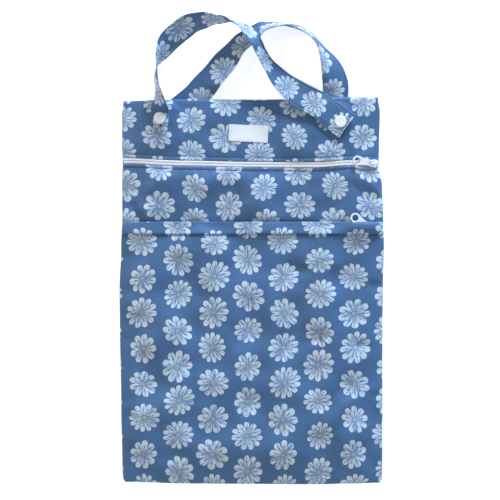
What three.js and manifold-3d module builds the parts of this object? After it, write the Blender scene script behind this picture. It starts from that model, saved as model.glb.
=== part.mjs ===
// A cloth wet bag that lies on its back, with two zipped rooms and two snapped carrying straps.
// Sizes are in millimetres: X to the right, Y toward the straps, Z out of the front cloth.
// The middle of the resting back is the origin.
import * as THREE from 'three';
import { mergeVertices } from 'three/addons/utils/BufferGeometryUtils.js';
import Module from 'manifold-3d';

const wasm = await Module();
wasm.setup();

// Driving sizes of the bag body
const bagWidth = 272;
const bagLength = 400;
const cloth = 1;
const layerGap = 0.3;
const mainRoom = 4.8;
const pocketRoom = 4.8;
const edgeRoll = 55;

// Driving sizes of the zips
const mainZipFromTop = 68.5;
const pocketZipFromTop = 133.5;
const coilWidth = 5.2;
const coilProud = 0.5;
const coilClearance = 0.4;
const tapeHalf = 14;
const mainSliderInset = 10;
const pocketSliderInset = 14.4;
const sliderLength = 10.4;
const sliderWidth = 8.6;
const sliderClearance = 0.35;
const upperPlate = 1.2;
const lowerPlate = 0.8;
const postLength = 1.6;
const postWidth = 1.4;
const rimWidth = 0.6;
const bridgeLength = 8.2;
const bridgeWidth = 1.2;
const bridgeRoom = 2.55;
const bridgeThickness = 1;
const pullReach = 17.4;
const pullThickness = 1.3;
const pullWidth = 6;
const ringRadius = 5.1;
const ringHole = 3.3;
const slotWidth = 3.6;
const slotReach = 5.4;
const hingeBar = 1.3;

// Driving sizes of the hem that hides the pocket zip
const hemBelowZip = 8.7;
const hemDepth = 13.6;
const hemThickness = 1.5;
const hemRise = 2.3;
const hemBulge = 4.7;
const bulgeHalf = 7.4;
const bulgeHalfInward = 13.6;
const bulgeFade = 8;
const bulgeFadeInward = 14;

// Driving sizes of the straps, snaps and label
const strapWidth = 29;
const strapThickness = 1.8;
const handleRise = 88.4;
const capRadius = 6.2;
const capHeight = 1.4;
const socketRadius = 5;
const socketHeight = 2.2;
const snapGap = 0.35;
const labelWidth = 40.7;
const labelHeight = 17.5;
const labelThickness = 0.7;
const labelFromTop = 37.1;
const labelFromMiddle = -3.2;

const halfWidth = bagWidth / 2;
const topY = bagLength / 2;
const mainZipY = topY - mainZipFromTop;
const pocketZipY = topY - pocketZipFromTop;
const hemStart = pocketZipY - hemBelowZip;
const panelEdge = coilWidth / 2 + coilClearance;
const edgeHeight = 3 * cloth + 2 * layerGap;
const zipEdgeHeight = 4 * cloth + 3 * layerGap;
const frontHeight = 3 * cloth + mainRoom + pocketRoom;
const strapRise = strapThickness + 2.8;
const strapFlat = strapWidth / 2 + 10.5;
const snapRise = capHeight + socketHeight + strapThickness + 4 * snapGap;
const snapFlat = socketRadius + 9;
const liftFade = 15;
const coilToTape = coilProud + cloth + layerGap;
const sliderBelow = coilToTape + cloth + sliderClearance + lowerPlate;
const hingeHeight = sliderClearance + upperPlate + bridgeRoom / 2;

const { lerp, degToRad } = THREE.MathUtils;

// The side seams, as shares of half the width, from the bottom seam (0) to the top seam (1)
const sideOutline = [
  { along: 0, left: 0.968, right: 0.975 },
  { along: 0.01, left: 0.982, right: 1 },
  { along: 0.035, left: 0.988, right: 1.002 },
  { along: 0.2, left: 0.997, right: 1.003 },
  { along: 0.42, left: 1.007, right: 1.003 },
  { along: 0.5, left: 1.01, right: 1.006 },
  { along: 0.61, left: 0.997, right: 1.014 },
  { along: 0.7, left: 0.989, right: 1.008 },
  { along: 0.77, left: 0.99, right: 1 },
  { along: 0.82, left: 0.984, right: 0.972 },
  { along: 0.87, left: 0.99, right: 0.976 },
  { along: 0.96, left: 0.99, right: 0.983 },
  { along: 1, left: 0.98, right: 0.968 },
];

// How far the bottom seam, the main zip and the top seam wander, as shares of the length
const wander = [
  { across: -1, bottom: 0.0025, zip: 0.0085, top: -0.0065 },
  { across: -0.5, bottom: -0.002, zip: 0.0015, top: -0.0035 },
  { across: 0, bottom: -0.003, zip: -0.002, top: -0.0032 },
  { across: 0.5, bottom: -0.004, zip: -0.00275, top: -0.0015 },
  { across: 0.78, bottom: -0.002, zip: 0.00275, top: 0.0025 },
  { across: 1, bottom: 0, zip: 0.00075, top: 0.003 },
];

// How the hem rises from its seam (0) to its free edge (1), with the extra rise over the slider
const hemShape = [
  { past: 0, rise: 0, bulge: 0 },
  { past: 0.235, rise: 0.83, bulge: 0.5 },
  { past: 0.49, rise: 1, bulge: 1 },
  { past: 0.75, rise: 1, bulge: 1 },
  { past: 1, rise: 0.57, bulge: 0.85 },
];

// The front strap from its left end to its right end. Across is a share of half the bag width, up
// a share of the handle rise above the top seam, lift and width are shares of the strap width, and
// lean is the turn of the flat side in degrees. A lift in words names the snap that holds it there.
const frontStrap = [
  { across: -0.701, up: -0.324, lift: 'left', lean: -12, width: 0.62 },
  { across: -0.695, up: -0.243, lift: 'left', lean: -12, width: 0.62 },
  { across: -0.696, up: -0.162, lift: 'left', lean: -13, width: 0.64 },
  { across: -0.701, up: -0.052, lift: 0.665, lean: -55, width: 0.78 },
  { across: -0.715, up: 0.107, lift: 0.62, lean: -78, width: 0.95 },
  { across: -0.725, up: 0.23, lift: 0.585, lean: -82, width: 1 },
  { across: -0.722, up: 0.354, lift: 0.55, lean: -86, width: 1 },
  { across: -0.694, up: 0.48, lift: 0.53, lean: -108, width: 1 },
  { across: -0.632, up: 0.645, lift: 0.44, lean: -134, width: 1 },
  { across: -0.523, up: 0.8, lift: 0.44, lean: -135, width: 1 },
  { across: -0.427, up: 0.878, lift: 0.48, lean: -126, width: 1 },
  { across: -0.315, up: 0.906, lift: 0.52, lean: -112, width: 1 },
  { across: -0.205, up: 0.904, lift: 0.535, lean: -97, width: 1 },
  { across: -0.123, up: 0.877, lift: 0.57, lean: -80, width: 0.95 },
  { across: -0.039, up: 0.793, lift: 0.68, lean: -62, width: 0.78 },
  { across: 0.031, up: 0.648, lift: 0.87, lean: -54, width: 0.64 },
  { across: 0.074, up: 0.518, lift: 0.72, lean: -60, width: 0.72 },
  { across: 0.126, up: 0.378, lift: 0.54, lean: -60, width: 0.88 },
  { across: 0.217, up: 0.216, lift: 0.44, lean: -40, width: 0.95 },
  { across: 0.35, up: 0.05, lift: 0.44, lean: -18, width: 0.97 },
  { across: 0.517, up: -0.09, lift: 0.517, lean: -8, width: 0.96 },
  { across: 0.634, up: -0.233, lift: 'right', lean: 0, width: 1 },
  { across: 0.676, up: -0.284, lift: 'right', lean: 0, width: 1 },
  { across: 0.726, up: -0.339, lift: 'right', lean: 0, width: 1 },
];

// The back strap, which starts and ends beneath the back cloth
const backStrap = [
  { across: -0.704, up: -0.317, lift: 'floor', lean: 0, width: 0.95 },
  { across: -0.6625, up: -0.266, lift: 'floor', lean: 0, width: 0.95 },
  { across: -0.621, up: -0.215, lift: 'floor', lean: 0, width: 0.95 },
  { across: -0.448, up: -0.001, lift: 0.066, lean: 0, width: 0.94 },
  { across: -0.38, up: 0.108, lift: 0.105, lean: -4, width: 0.95 },
  { across: -0.307, up: 0.23, lift: 0.262, lean: -25, width: 1 },
  { across: -0.203, up: 0.419, lift: 0.295, lean: -29, width: 1 },
  { across: -0.124, up: 0.573, lift: 0.29, lean: -34, width: 0.87 },
  { across: -0.044, up: 0.69, lift: 0.283, lean: -38, width: 0.78 },
  { across: 0.041, up: 0.778, lift: 0.286, lean: -45, width: 0.7 },
  { across: 0.1, up: 0.82, lift: 0.414, lean: -62, width: 0.86 },
  { across: 0.193, up: 0.849, lift: 0.51, lean: -77, width: 1 },
  { across: 0.322, up: 0.83, lift: 0.515, lean: -79, width: 1 },
  { across: 0.427, up: 0.762, lift: 0.515, lean: -79, width: 1 },
  { across: 0.502, up: 0.645, lift: 0.515, lean: -78, width: 1 },
  { across: 0.55, up: 0.508, lift: 0.476, lean: -62, width: 1 },
  { across: 0.612, up: 0.318, lift: 0.324, lean: -34, width: 1 },
  { across: 0.641, up: 0.159, lift: 0.186, lean: -16, width: 0.97 },
  { across: 0.643, up: 0.012, lift: 0.076, lean: -3, width: 0.93 },
  { across: 0.655, up: -0.179, lift: 'floor', lean: 0, width: 0.95 },
  { across: 0.6625, up: -0.26, lift: 'floor', lean: 0, width: 0.95 },
  { across: 0.67, up: -0.341, lift: 'floor', lean: 0, width: 0.95 },
];

function smooth(share) {
  const held = THREE.MathUtils.clamp(share, 0, 1);
  return held * held * (3 - 2 * held);
}

function readTable(table, key, column, at) {
  const after = table.find((row) => row[key] >= at) ?? table[table.length - 1];
  const before = table[Math.max(0, table.indexOf(after) - 1)];
  if (before === after || at >= after[key]) return after[column];
  return lerp(before[column], after[column], smooth((at - before[key]) / (after[key] - before[key])));
}

// Where a spot of the cloth lies, seen from above
function placeOnBag(across, y) {
  const reach = readTable(sideOutline, 'along', across < 0 ? 'left' : 'right', (y + topY) / bagLength);
  const clear = tapeHalf + 2;
  const nearBottom = 1 - smooth((y + topY) / edgeRoll);
  const nearTop = smooth((y - mainZipY - clear) / (topY - mainZipY - clear));
  const nearZip = smooth((y - pocketZipY - clear) / (mainZipY - pocketZipY - 2 * clear)) * (1 - nearTop);
  const shift = nearBottom * readTable(wander, 'across', 'bottom', across)
    + nearZip * readTable(wander, 'across', 'zip', across)
    + nearTop * readTable(wander, 'across', 'top', across);
  return new THREE.Vector2(across * halfWidth * reach, y + shift * bagLength);
}

function acrossAt(x, y) {
  const reach = readTable(sideOutline, 'along', x < 0 ? 'left' : 'right', (y + topY) / bagLength);
  return x / (halfWidth * reach);
}

function strapSpot(station) {
  return new THREE.Vector2(station.across * halfWidth * 0.98, topY + station.up * handleRise);
}

// The two stretches of the back strap that lie beneath the bag, each from its snap to the top seam
const hiddenStretches = [
  { snap: strapSpot(backStrap[1]), exit: strapSpot(backStrap[3]) },
  { snap: strapSpot(backStrap[20]), exit: strapSpot(backStrap[18]) },
];

// How high the strap and its snaps push the cloth off the surface
function liftByStrap(across, y) {
  const spot = placeOnBag(across, y);
  let lift = 0;
  for (const { snap, exit } of hiddenStretches) {
    const run = exit.clone().sub(snap);
    const share = THREE.MathUtils.clamp(spot.clone().sub(snap).dot(run) / run.lengthSq(), 0, 2);
    const toStrap = spot.distanceTo(snap.clone().addScaledVector(run, share));
    lift = Math.max(lift, strapRise * (1 - smooth((toStrap - strapFlat) / liftFade)));
    lift = Math.max(lift, snapRise * (1 - smooth((spot.distanceTo(snap) - snapFlat) / liftFade)));
  }
  return lift;
}

function seamDistance(across, y) {
  return Math.min((1 - Math.abs(across)) * halfWidth, topY - Math.abs(y));
}

// The swell of the bag: 0 at a seam, 1 where the cloth has levelled out
function swell(across, y) {
  const sideways = Math.min(1, (1 - Math.abs(across)) * halfWidth / edgeRoll);
  const lengthways = Math.min(1, (topY - Math.abs(y)) / edgeRoll);
  return Math.sin(sideways * Math.PI / 2) * Math.sin(lengthways * Math.PI / 2);
}

function backTop(across, y) {
  return cloth + liftByStrap(across, y);
}

function zipDistance(y) {
  return Math.min(Math.abs(y - mainZipY), Math.abs(y - pocketZipY));
}

// The outer face of the front cloth, which is a layer thicker where a zip meets the seam
function front(across, y) {
  const fourLayers = 1 - smooth((zipDistance(y) - tapeHalf - 2) / 16);
  const atSeam = lerp(edgeHeight, zipEdgeHeight, fourLayers);
  const full = swell(across, y);
  return lerp(atSeam + liftByStrap(across, y), frontHeight, full);
}

// The upper face of the cloth between the rooms. Above the pocket zip it meets the zip tape.
function dividerTop(across, y) {
  const seam = 2 * cloth + layerGap;
  const free = lerp(seam, 2 * cloth + mainRoom, swell(across, y));
  const sliderFoot = front(across, y) + coilProud - sliderBelow;
  const belowSlider = Math.max(seam, Math.min(free, sliderFoot - sliderClearance));
  const low = Math.abs(y - pocketZipY) < tapeHalf + 2 ? belowSlider : free;
  const sewn = front(across, y) - 2 * cloth - 2 * layerGap;
  return lerp(low, sewn, smooth((y - pocketZipY - 5) / (tapeHalf - 5)));
}

// The inner face of a front panel, which closes down onto the layer below it along the seams
function frontUnderside(layerBelow) {
  return (across, y) => {
    const overTape = zipDistance(y) < tapeHalf + 0.1;
    const atSeam = seamDistance(across, y) < 2.1;
    if (atSeam && !overTape) return layerBelow(across, y) + layerGap;
    return front(across, y) - cloth;
  };
}

// The hem over the pocket zip: how far it stands above the line of the front cloth
function hemLift(across, y) {
  const past = (y - hemStart) / hemDepth;
  if (past <= 0) return 0;
  const fromSlider = placeOnBag(across, y).x - (halfWidth - pocketSliderInset);
  const outward = 1 - smooth((fromSlider - bulgeHalf) / bulgeFade);
  const overSlider = outward * (1 - smooth((-fromSlider - bulgeHalfInward) / bulgeFadeInward));
  return hemRise * readTable(hemShape, 'past', 'rise', past)
    + hemBulge * overSlider * readTable(hemShape, 'past', 'bulge', past);
}

// Turns triangles into a closed piece that faces outward
function closedPiece(positions, triangles) {
  let volume = 0;
  const at = (index) => new THREE.Vector3().fromArray(positions, index * 3);
  for (const [a, b, c] of triangles) volume += at(a).dot(at(b).cross(at(c)));
  const order = volume < 0 ? triangles.map(([a, b, c]) => [a, c, b]) : triangles;
  const geometry = new THREE.BufferGeometry();
  geometry.setAttribute('position', new THREE.Float32BufferAttribute(positions, 3));
  geometry.setIndex(order.flat());
  return geometry;
}

// Columns of the cloth, closer together toward the side seams
const seamSteps = [0, 2, 8, 17, 30, 43, 57];
const rightColumns = [11, 34, 57].map((x) => x / halfWidth)
  .concat(seamSteps.slice().reverse().map((step) => 1 - step / halfWidth));
const columns = rightColumns.map((across) => -across).reverse().concat(rightColumns);

// A sheet of cloth between two height functions, closed all round
function clothSheet(rows, lower, upper, place = placeOnBag, across = columns) {
  const positions = [];
  for (const height of [lower, upper]) {
    for (const y of rows) {
      for (const share of across) {
        const spot = place(share, y);
        positions.push(spot.x, spot.y, height(share, y));
      }
    }
  }
  const wide = across.length;
  const layer = wide * rows.length;
  const triangles = [];
  const quad = (a, b, c, d) => triangles.push([a, b, c], [a, c, d]);
  for (let row = 0; row + 1 < rows.length; row += 1) {
    for (let column = 0; column + 1 < wide; column += 1) {
      const corner = row * wide + column;
      quad(corner, corner + wide, corner + wide + 1, corner + 1);
      quad(layer + corner, layer + corner + 1, layer + corner + wide + 1, layer + corner + wide);
    }
    const left = row * wide;
    const right = left + wide - 1;
    quad(left, layer + left, layer + left + wide, left + wide);
    quad(right, right + wide, layer + right + wide, layer + right);
  }
  for (let column = 0; column + 1 < wide; column += 1) {
    const last = layer - wide + column;
    quad(column, column + 1, layer + column + 1, layer + column);
    quad(last, layer + last, layer + last + 1, last + 1);
  }
  return closedPiece(positions, triangles);
}

function spread(from, to, steps) {
  return Array.from({ length: steps - 1 }, (unused, index) => lerp(from, to, (index + 1) / steps));
}

const seamRows = [0, 2, 10, 20, 32, 45];
const bottomRows = seamRows.map((step) => step - topY);
const topRows = seamRows.map((step) => topY - step).reverse();
const tapeFoot = pocketZipY - tapeHalf;
const roomRows = bottomRows.concat(spread(bottomRows[bottomRows.length - 1], tapeFoot, 7), tapeFoot);
const zipSteps = [panelEdge, 8, tapeHalf];
const abovePocketZip = zipSteps.map((step) => pocketZipY + step);
const belowMainZip = zipSteps.map((step) => mainZipY - step).reverse();
const aboveMainZip = zipSteps.map((step) => mainZipY + step);

// Solids for joining and cutting
function solidFrom(geometry) {
  const bare = geometry.clone();
  bare.deleteAttribute('normal');
  bare.deleteAttribute('uv');
  const merged = mergeVertices(bare, 1e-4);
  return new wasm.Manifold(new wasm.Mesh({
    numProp: 3,
    vertProperties: new Float32Array(merged.attributes.position.array),
    triVerts: new Uint32Array(merged.index.array),
  }));
}

function geometryFrom(solid) {
  const mesh = solid.getMesh();
  const geometry = new THREE.BufferGeometry();
  geometry.setAttribute('position', new THREE.BufferAttribute(mesh.vertProperties, 3));
  geometry.setIndex(new THREE.BufferAttribute(mesh.triVerts, 1));
  return geometry;
}

function block(fromX, toX, fromY, toY, fromZ, toZ) {
  const geometry = new THREE.BoxGeometry(toX - fromX, toY - fromY, toZ - fromZ);
  geometry.translate((fromX + toX) / 2, (fromY + toY) / 2, (fromZ + toZ) / 2);
  return solidFrom(geometry);
}

function plate(outline, fromZ, toZ) {
  const options = { depth: toZ - fromZ, bevelEnabled: false, curveSegments: 20 };
  const geometry = new THREE.ExtrudeGeometry(outline, options);
  geometry.translate(0, 0, fromZ);
  return solidFrom(geometry);
}

// A zip chain: the tape, which lies beneath the front cloth, and the coil that stands in the gap
const coilShape = [
  { off: 0, rise: 1 },
  { off: 0.27, rise: 0.95 },
  { off: 0.44, rise: 0.6 },
  { off: 0.5, rise: 0 },
];

function zipChain(zipY, slotFrom, slotHalf) {
  const tapeTop = (across, y) => front(across, y) - cloth - layerGap;
  const coilTop = (across, y) => {
    const off = Math.abs(y - zipY) / coilWidth;
    if (off > 0.5) return tapeTop(across, y);
    return tapeTop(across, y) + coilToTape * readTable(coilShape, 'off', 'rise', off);
  };
  const steps = coilShape.map((row) => row.off * coilWidth).concat(8, tapeHalf);
  const rows = steps.slice(1).map((step) => zipY - step).reverse().concat(steps.map((step) => zipY + step));
  const lower = (across, y) => tapeTop(across, y) - cloth;
  const sheet = solidFrom(clothSheet(rows, lower, coilTop));
  const slot = block(slotFrom, bagWidth, zipY - slotHalf, zipY + slotHalf, 0, 2 * frontHeight);
  return geometryFrom(sheet.subtract(slot));
}

// The frame of a slider: its origin is on the coil, X runs along the coil toward the open side
function sliderFrame(zipY, x, yaw) {
  const onCoil = (at) => {
    const spot = placeOnBag(acrossAt(at, zipY), zipY);
    return new THREE.Vector3(at, spot.y, front(acrossAt(at, zipY), zipY) + coilProud);
  };
  const back = onCoil(x - sliderLength / 2);
  const ahead = onCoil(x + sliderLength / 2);
  const alongCoil = ahead.clone().sub(back).normalize();
  const sideways = new THREE.Vector3(0, 0, 1).cross(alongCoil).normalize();
  const outward = alongCoil.clone().cross(sideways);
  const middle = back.add(ahead).multiplyScalar(0.5);
  return new THREE.Matrix4().makeBasis(alongCoil, sideways, outward).setPosition(middle)
    .multiply(new THREE.Matrix4().makeRotationZ(degToRad(yaw)));
}

// Half of a slider seen from above, as shares of its length and width: narrow toward the closed side
const sliderOutline = [
  { along: -0.5, out: 0.35 },
  { along: -0.385, out: 0.42 },
  { along: 0.26, out: 0.5 },
  { along: 0.5, out: 0.37 },
];

// A slider: two plates joined by a post between the coil halves, and a bridge that holds the pull
function zipSlider() {
  const near = sliderOutline.map(({ along, out }) => [along * sliderLength, -out * sliderWidth]);
  const far = near.map(([x, y]) => [x, -y]).reverse();
  const outline = new THREE.Shape(near.concat(far).map(([x, y]) => new THREE.Vector2(x, y)));
  const plateTop = sliderClearance + upperPlate;
  const beamTop = plateTop + bridgeRoom + bridgeThickness;
  const corner = 0.9 * bridgeThickness;
  const beamEnd = bridgeLength / 2;
  const beam = new THREE.Shape();
  beam.moveTo(-beamEnd, sliderClearance);
  beam.lineTo(beamEnd, sliderClearance);
  beam.lineTo(beamEnd, beamTop - corner);
  beam.lineTo(beamEnd - corner, beamTop);
  beam.lineTo(-beamEnd + corner, beamTop);
  beam.lineTo(-beamEnd, beamTop - corner);
  const upright = new THREE.Matrix4().makeRotationX(Math.PI / 2);
  const beamSolid = new THREE.ExtrudeGeometry(beam, { depth: bridgeWidth, bevelEnabled: false });
  beamSolid.translate(0, 0, -bridgeWidth / 2);
  beamSolid.applyMatrix4(upright);
  const roomEnd = beamEnd - bridgeThickness;
  const room = block(-roomEnd, roomEnd, -bridgeWidth, bridgeWidth, plateTop, plateTop + bridgeRoom);
  const rimOut = 0.436 * sliderWidth;
  const rim = (side) => block(-0.356 * sliderLength, 0.25 * sliderLength, ...[side * rimOut,
    side * (rimOut - rimWidth)].sort((a, b) => a - b), -0.15, plateTop - upperPlate / 2);
  const postTo = 0.49 * sliderLength;
  const postHalf = postWidth / 2;
  const postFoot = lowerPlate / 2 - sliderBelow;
  const parts = [
    plate(outline, sliderClearance, plateTop),
    plate(outline, -sliderBelow, lowerPlate - sliderBelow),
    rim(1),
    rim(-1),
    block(postTo - postLength, postTo, -postHalf, postHalf, postFoot, plateTop / 2),
    solidFrom(beamSolid).subtract(room),
  ];
  return geometryFrom(parts.reduce((joined, part) => joined.add(part)));
}

// A pull: a flat finger ring that narrows to a slotted end around the bridge
function zipPull() {
  const half = pullWidth / 2;
  const chamfer = 0.23 * half;
  const barBack = hingeBar / 2;
  const barFront = barBack + 0.25;
  const neck = -1.1 * slotReach;
  const outline = new THREE.Shape();
  outline.moveTo(barFront, -half + chamfer);
  outline.lineTo(barFront, half - chamfer);
  outline.lineTo(barFront - chamfer, half);
  outline.lineTo(neck, half);
  outline.absarc(-pullReach, 0, ringRadius, degToRad(80), degToRad(280), false);
  outline.lineTo(neck, -half);
  outline.lineTo(barFront - chamfer, -half);
  const hole = new THREE.Path();
  hole.absarc(-pullReach, 0, ringHole, 0, Math.PI * 2, true);
  const slotHalf = slotWidth / 2;
  const slotCorner = 0.45 * slotHalf;
  const slot = new THREE.Path();
  slot.moveTo(-barBack, -slotHalf);
  slot.lineTo(slotCorner - slotReach, -slotHalf);
  slot.lineTo(-slotReach, slotCorner - slotHalf);
  slot.lineTo(-slotReach, slotHalf - slotCorner);
  slot.lineTo(slotCorner - slotReach, slotHalf);
  slot.lineTo(-barBack, slotHalf);
  outline.holes.push(hole, slot);
  return geometryFrom(plate(outline, -pullThickness / 2, pullThickness / 2));
}

// The pull hangs on the bridge, turned sideways by its skew and dipping a little toward the cloth
function pullFrame(slider, skew, dip) {
  return slider.clone()
    .multiply(new THREE.Matrix4().makeTranslation(0, 0, hingeHeight))
    .multiply(new THREE.Matrix4().makeRotationZ(degToRad(-skew)))
    .multiply(new THREE.Matrix4().makeRotationY(degToRad(-dip)));
}

// How high the middle of a strap lies where a snap holds it
const snapStack = strapThickness / 2 + 2 * snapGap + socketHeight;

function seatHeight(stations, hold) {
  if (hold === 'floor') return capHeight + snapGap + strapThickness / 2;
  const snap = hold === 'left' ? stations[1] : stations[stations.length - 2];
  const tilt = socketRadius * Math.sin(degToRad(Math.abs(snap.lean)));
  return front(snap.across, topY + snap.up * handleRise) + snapStack + tilt;
}

// The run of a strap: its middle line, its flat side and its width at a share of the way along
function strapRun(stations) {
  const middle = stations.map(({ across, up, lift }) => {
    const height = typeof lift === 'number' ? lift * strapWidth : seatHeight(stations, lift);
    return new THREE.Vector3(across * halfWidth, topY + up * handleRise, height);
  });
  const turns = stations.map((station) => new THREE.Vector3(station.lean, station.width * 100, 0));
  const path = new THREE.CatmullRomCurve3(middle, false, 'catmullrom', 0.5);
  const turning = new THREE.CatmullRomCurve3(turns, false, 'catmullrom', 0.5);
  return (share) => {
    const centre = path.getPoint(share);
    const ahead = path.getTangent(share);
    const turn = turning.getPoint(share);
    const left = new THREE.Vector3(0, 0, 1).cross(ahead).normalize();
    const lean = degToRad(turn.x);
    const wide = left.multiplyScalar(Math.cos(lean)).add(new THREE.Vector3(0, 0, Math.sin(lean)));
    wide.addScaledVector(ahead, -wide.dot(ahead)).normalize();
    const outward = ahead.clone().cross(wide).normalize();
    return { centre, ahead, wide, outward, half: (turn.y / 100) * strapWidth / 2 };
  };
}

// A strap: a flat woven band with soft edges, swept along its run
function strap(stations) {
  const run = strapRun(stations);
  const steps = (stations.length - 1) * 2;
  const thick = strapThickness / 2;
  const lowerSide = [[-1, -0.4], [-0.93, -1], [0.93, -1], [1, -0.4]];
  const section = lowerSide.concat(lowerSide.map(([side, face]) => [-side, -face]));
  const positions = [];
  for (let step = 0; step <= steps; step += 1) {
    const { centre, wide, outward, half } = run(step / steps);
    for (const [sideShare, faceShare] of section) {
      const point = centre.clone().addScaledVector(wide, sideShare * half);
      point.addScaledVector(outward, faceShare * thick);
      positions.push(point.x, point.y, point.z);
    }
  }
  const count = section.length;
  const triangles = [];
  for (let step = 0; step < steps; step += 1) {
    for (let corner = 0; corner < count; corner += 1) {
      const here = step * count + corner;
      const next = step * count + (corner + 1) % count;
      triangles.push([here, next, next + count], [here, next + count, here + count]);
    }
  }
  for (let corner = 1; corner + 1 < count; corner += 1) {
    const last = steps * count;
    triangles.push([0, corner + 1, corner], [last, last + corner, last + corner + 1]);
  }
  return closedPiece(positions, triangles);
}

function roundCap() {
  const circle = new THREE.Shape();
  circle.absarc(0, 0, capRadius - 0.7, 0, Math.PI * 2, false);
  const options = { depth: 0.4, bevelThickness: 0.5, bevelSize: 0.7, bevelSegments: 2, curveSegments: 11 };
  const geometry = new THREE.ExtrudeGeometry(circle, options);
  geometry.translate(0, 0, 0.5);
  return geometryFrom(solidFrom(geometry));
}

function roundSocket() {
  const geometry = new THREE.CylinderGeometry(socketRadius, socketRadius, socketHeight, 22);
  geometry.rotateX(Math.PI / 2);
  geometry.translate(0, 0, socketHeight / 2);
  return geometryFrom(solidFrom(geometry));
}

// Finishes
const printedCloth = new THREE.MeshStandardMaterial({ color: '#6f93b5', roughness: 0.7, metalness: 0 });
const innerCloth = new THREE.MeshStandardMaterial({ color: '#5d7fa3', roughness: 0.75, metalness: 0 });
const zipNylon = new THREE.MeshStandardMaterial({ color: '#f3f6f8', roughness: 0.5, metalness: 0 });
const snapPlastic = new THREE.MeshStandardMaterial({ color: '#f6f8fa', roughness: 0.25, metalness: 0 });
const labelCloth = new THREE.MeshStandardMaterial({ color: '#e8edf5', roughness: 0.8, metalness: 0 });

const bag = new THREE.Group();
bag.name = 'cloth_wet_bag';

function addPiece(name, geometry, material) {
  const piece = new THREE.Mesh(geometry, material);
  piece.name = name;
  bag.add(piece);
}

// Cloth of the body
const betweenZips = (pocketZipY + mainZipY) / 2;
const backSteps = [pocketZipY + tapeHalf, betweenZips, mainZipY, mainZipY + tapeHalf];
const backRows = roomRows.concat(backSteps, topRows);
addPiece('back_panel', clothSheet(backRows, liftByStrap, backTop), printedCloth);

const dividerRows = roomRows.concat([-8, 0, 5, 8, tapeHalf].map((step) => pocketZipY + step));
const dividerBottom = (across, y) => dividerTop(across, y) - cloth;
addPiece('pocket_divider', clothSheet(dividerRows, dividerBottom, dividerTop), innerCloth);

const upperRows = aboveMainZip.concat(topRows);
addPiece('upper_front_panel', clothSheet(upperRows, frontUnderside(backTop), front), printedCloth);

const middleRows = abovePocketZip.concat(betweenZips, belowMainZip);
addPiece('middle_front_panel', clothSheet(middleRows, frontUnderside(backTop), front), printedCloth);

const hemRows = hemShape.map((row) => hemStart + row.past * hemDepth);
const roomUnderside = frontUnderside(dividerTop);
const hemUnderside = (across, y) => roomUnderside(across, y) + hemLift(across, y);
const hemTop = (across, y) => {
  const doubled = (hemThickness - cloth) * smooth((y - hemStart) / 3);
  return front(across, y) + hemLift(across, y) + doubled;
};
addPiece('pocket_front_panel', clothSheet(roomRows.concat(hemRows), hemUnderside, hemTop), printedCloth);

// Zips, each with its slider near the right seam and its pull turned back along the coil
const zips = [
  { name: 'main_zip', y: mainZipY, inset: mainSliderInset, yaw: 0, skew: 8, slotShare: 0.46 },
  { name: 'pocket_zip', y: pocketZipY, inset: pocketSliderInset, yaw: -17, skew: 14.5, slotShare: 0.92 },
];
for (const zip of zips) {
  const x = halfWidth - zip.inset;
  const slider = sliderFrame(zip.y, x, zip.yaw);
  const chain = zipChain(zip.y, x + sliderLength / 4, zip.slotShare * coilWidth / 2);
  addPiece(`${zip.name}_chain`, chain, zipNylon);
  addPiece(`${zip.name}_slider`, zipSlider().applyMatrix4(slider), zipNylon);
  addPiece(`${zip.name}_pull`, zipPull().applyMatrix4(pullFrame(slider, zip.skew, 3)), zipNylon);
}

// Straps, each with a snap near both ends. A snap is a cap on the far side of the strap and a
// socket between the strap and the bag.
const straps = [
  { name: 'front', stations: frontStrap, capSide: 1, snaps: { left: 1, right: 22 } },
  { name: 'back', stations: backStrap, capSide: -1, snaps: { left: 1, right: 20 } },
];
for (const { name, stations, capSide, snaps } of straps) {
  addPiece(`${name}_handle`, strap(stations), printedCloth);
  const run = strapRun(stations);
  for (const [side, station] of Object.entries(snaps)) {
    const { centre, ahead, wide, outward } = run(station / (stations.length - 1));
    const stand = strapThickness / 2 + snapGap;
    for (const [part, facing, shape] of [['cap', capSide, roundCap()], ['socket', -capSide, roundSocket()]]) {
      const seat = centre.clone().addScaledVector(outward, facing * stand);
      const frame = new THREE.Matrix4().makeBasis(ahead, wide, outward);
      if (facing < 0) frame.multiply(new THREE.Matrix4().makeRotationX(Math.PI));
      addPiece(`${name}_${side}_snap_${part}`, shape.applyMatrix4(frame.setPosition(seat)), snapPlastic);
    }
  }
}

// The woven label, sewn flat on the front above the main zip
const labelTurn = degToRad(-2.7);
const placeLabel = (across, y) => {
  const spot = new THREE.Vector2(across * labelWidth / 2, y).rotateAround(new THREE.Vector2(), labelTurn);
  return spot.add(new THREE.Vector2(labelFromMiddle, topY - labelFromTop));
};
const labelSeat = (across, y) => {
  const spot = placeLabel(across, y);
  return front(acrossAt(spot.x, spot.y), spot.y) + snapGap;
};
const labelTop = (across, y) => labelSeat(across, y) + labelThickness;
const labelRows = [-0.5, -0.25, 0, 0.25, 0.5].map((share) => share * labelHeight);
const labelColumns = [-1, -0.6, -0.2, 0.2, 0.6, 1];
addPiece('label', clothSheet(labelRows, labelSeat, labelTop, placeLabel, labelColumns), labelCloth);

export default bag;
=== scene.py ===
import math

import bmesh
import bpy
import numpy as np
from mathutils import Matrix, Vector


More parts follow.
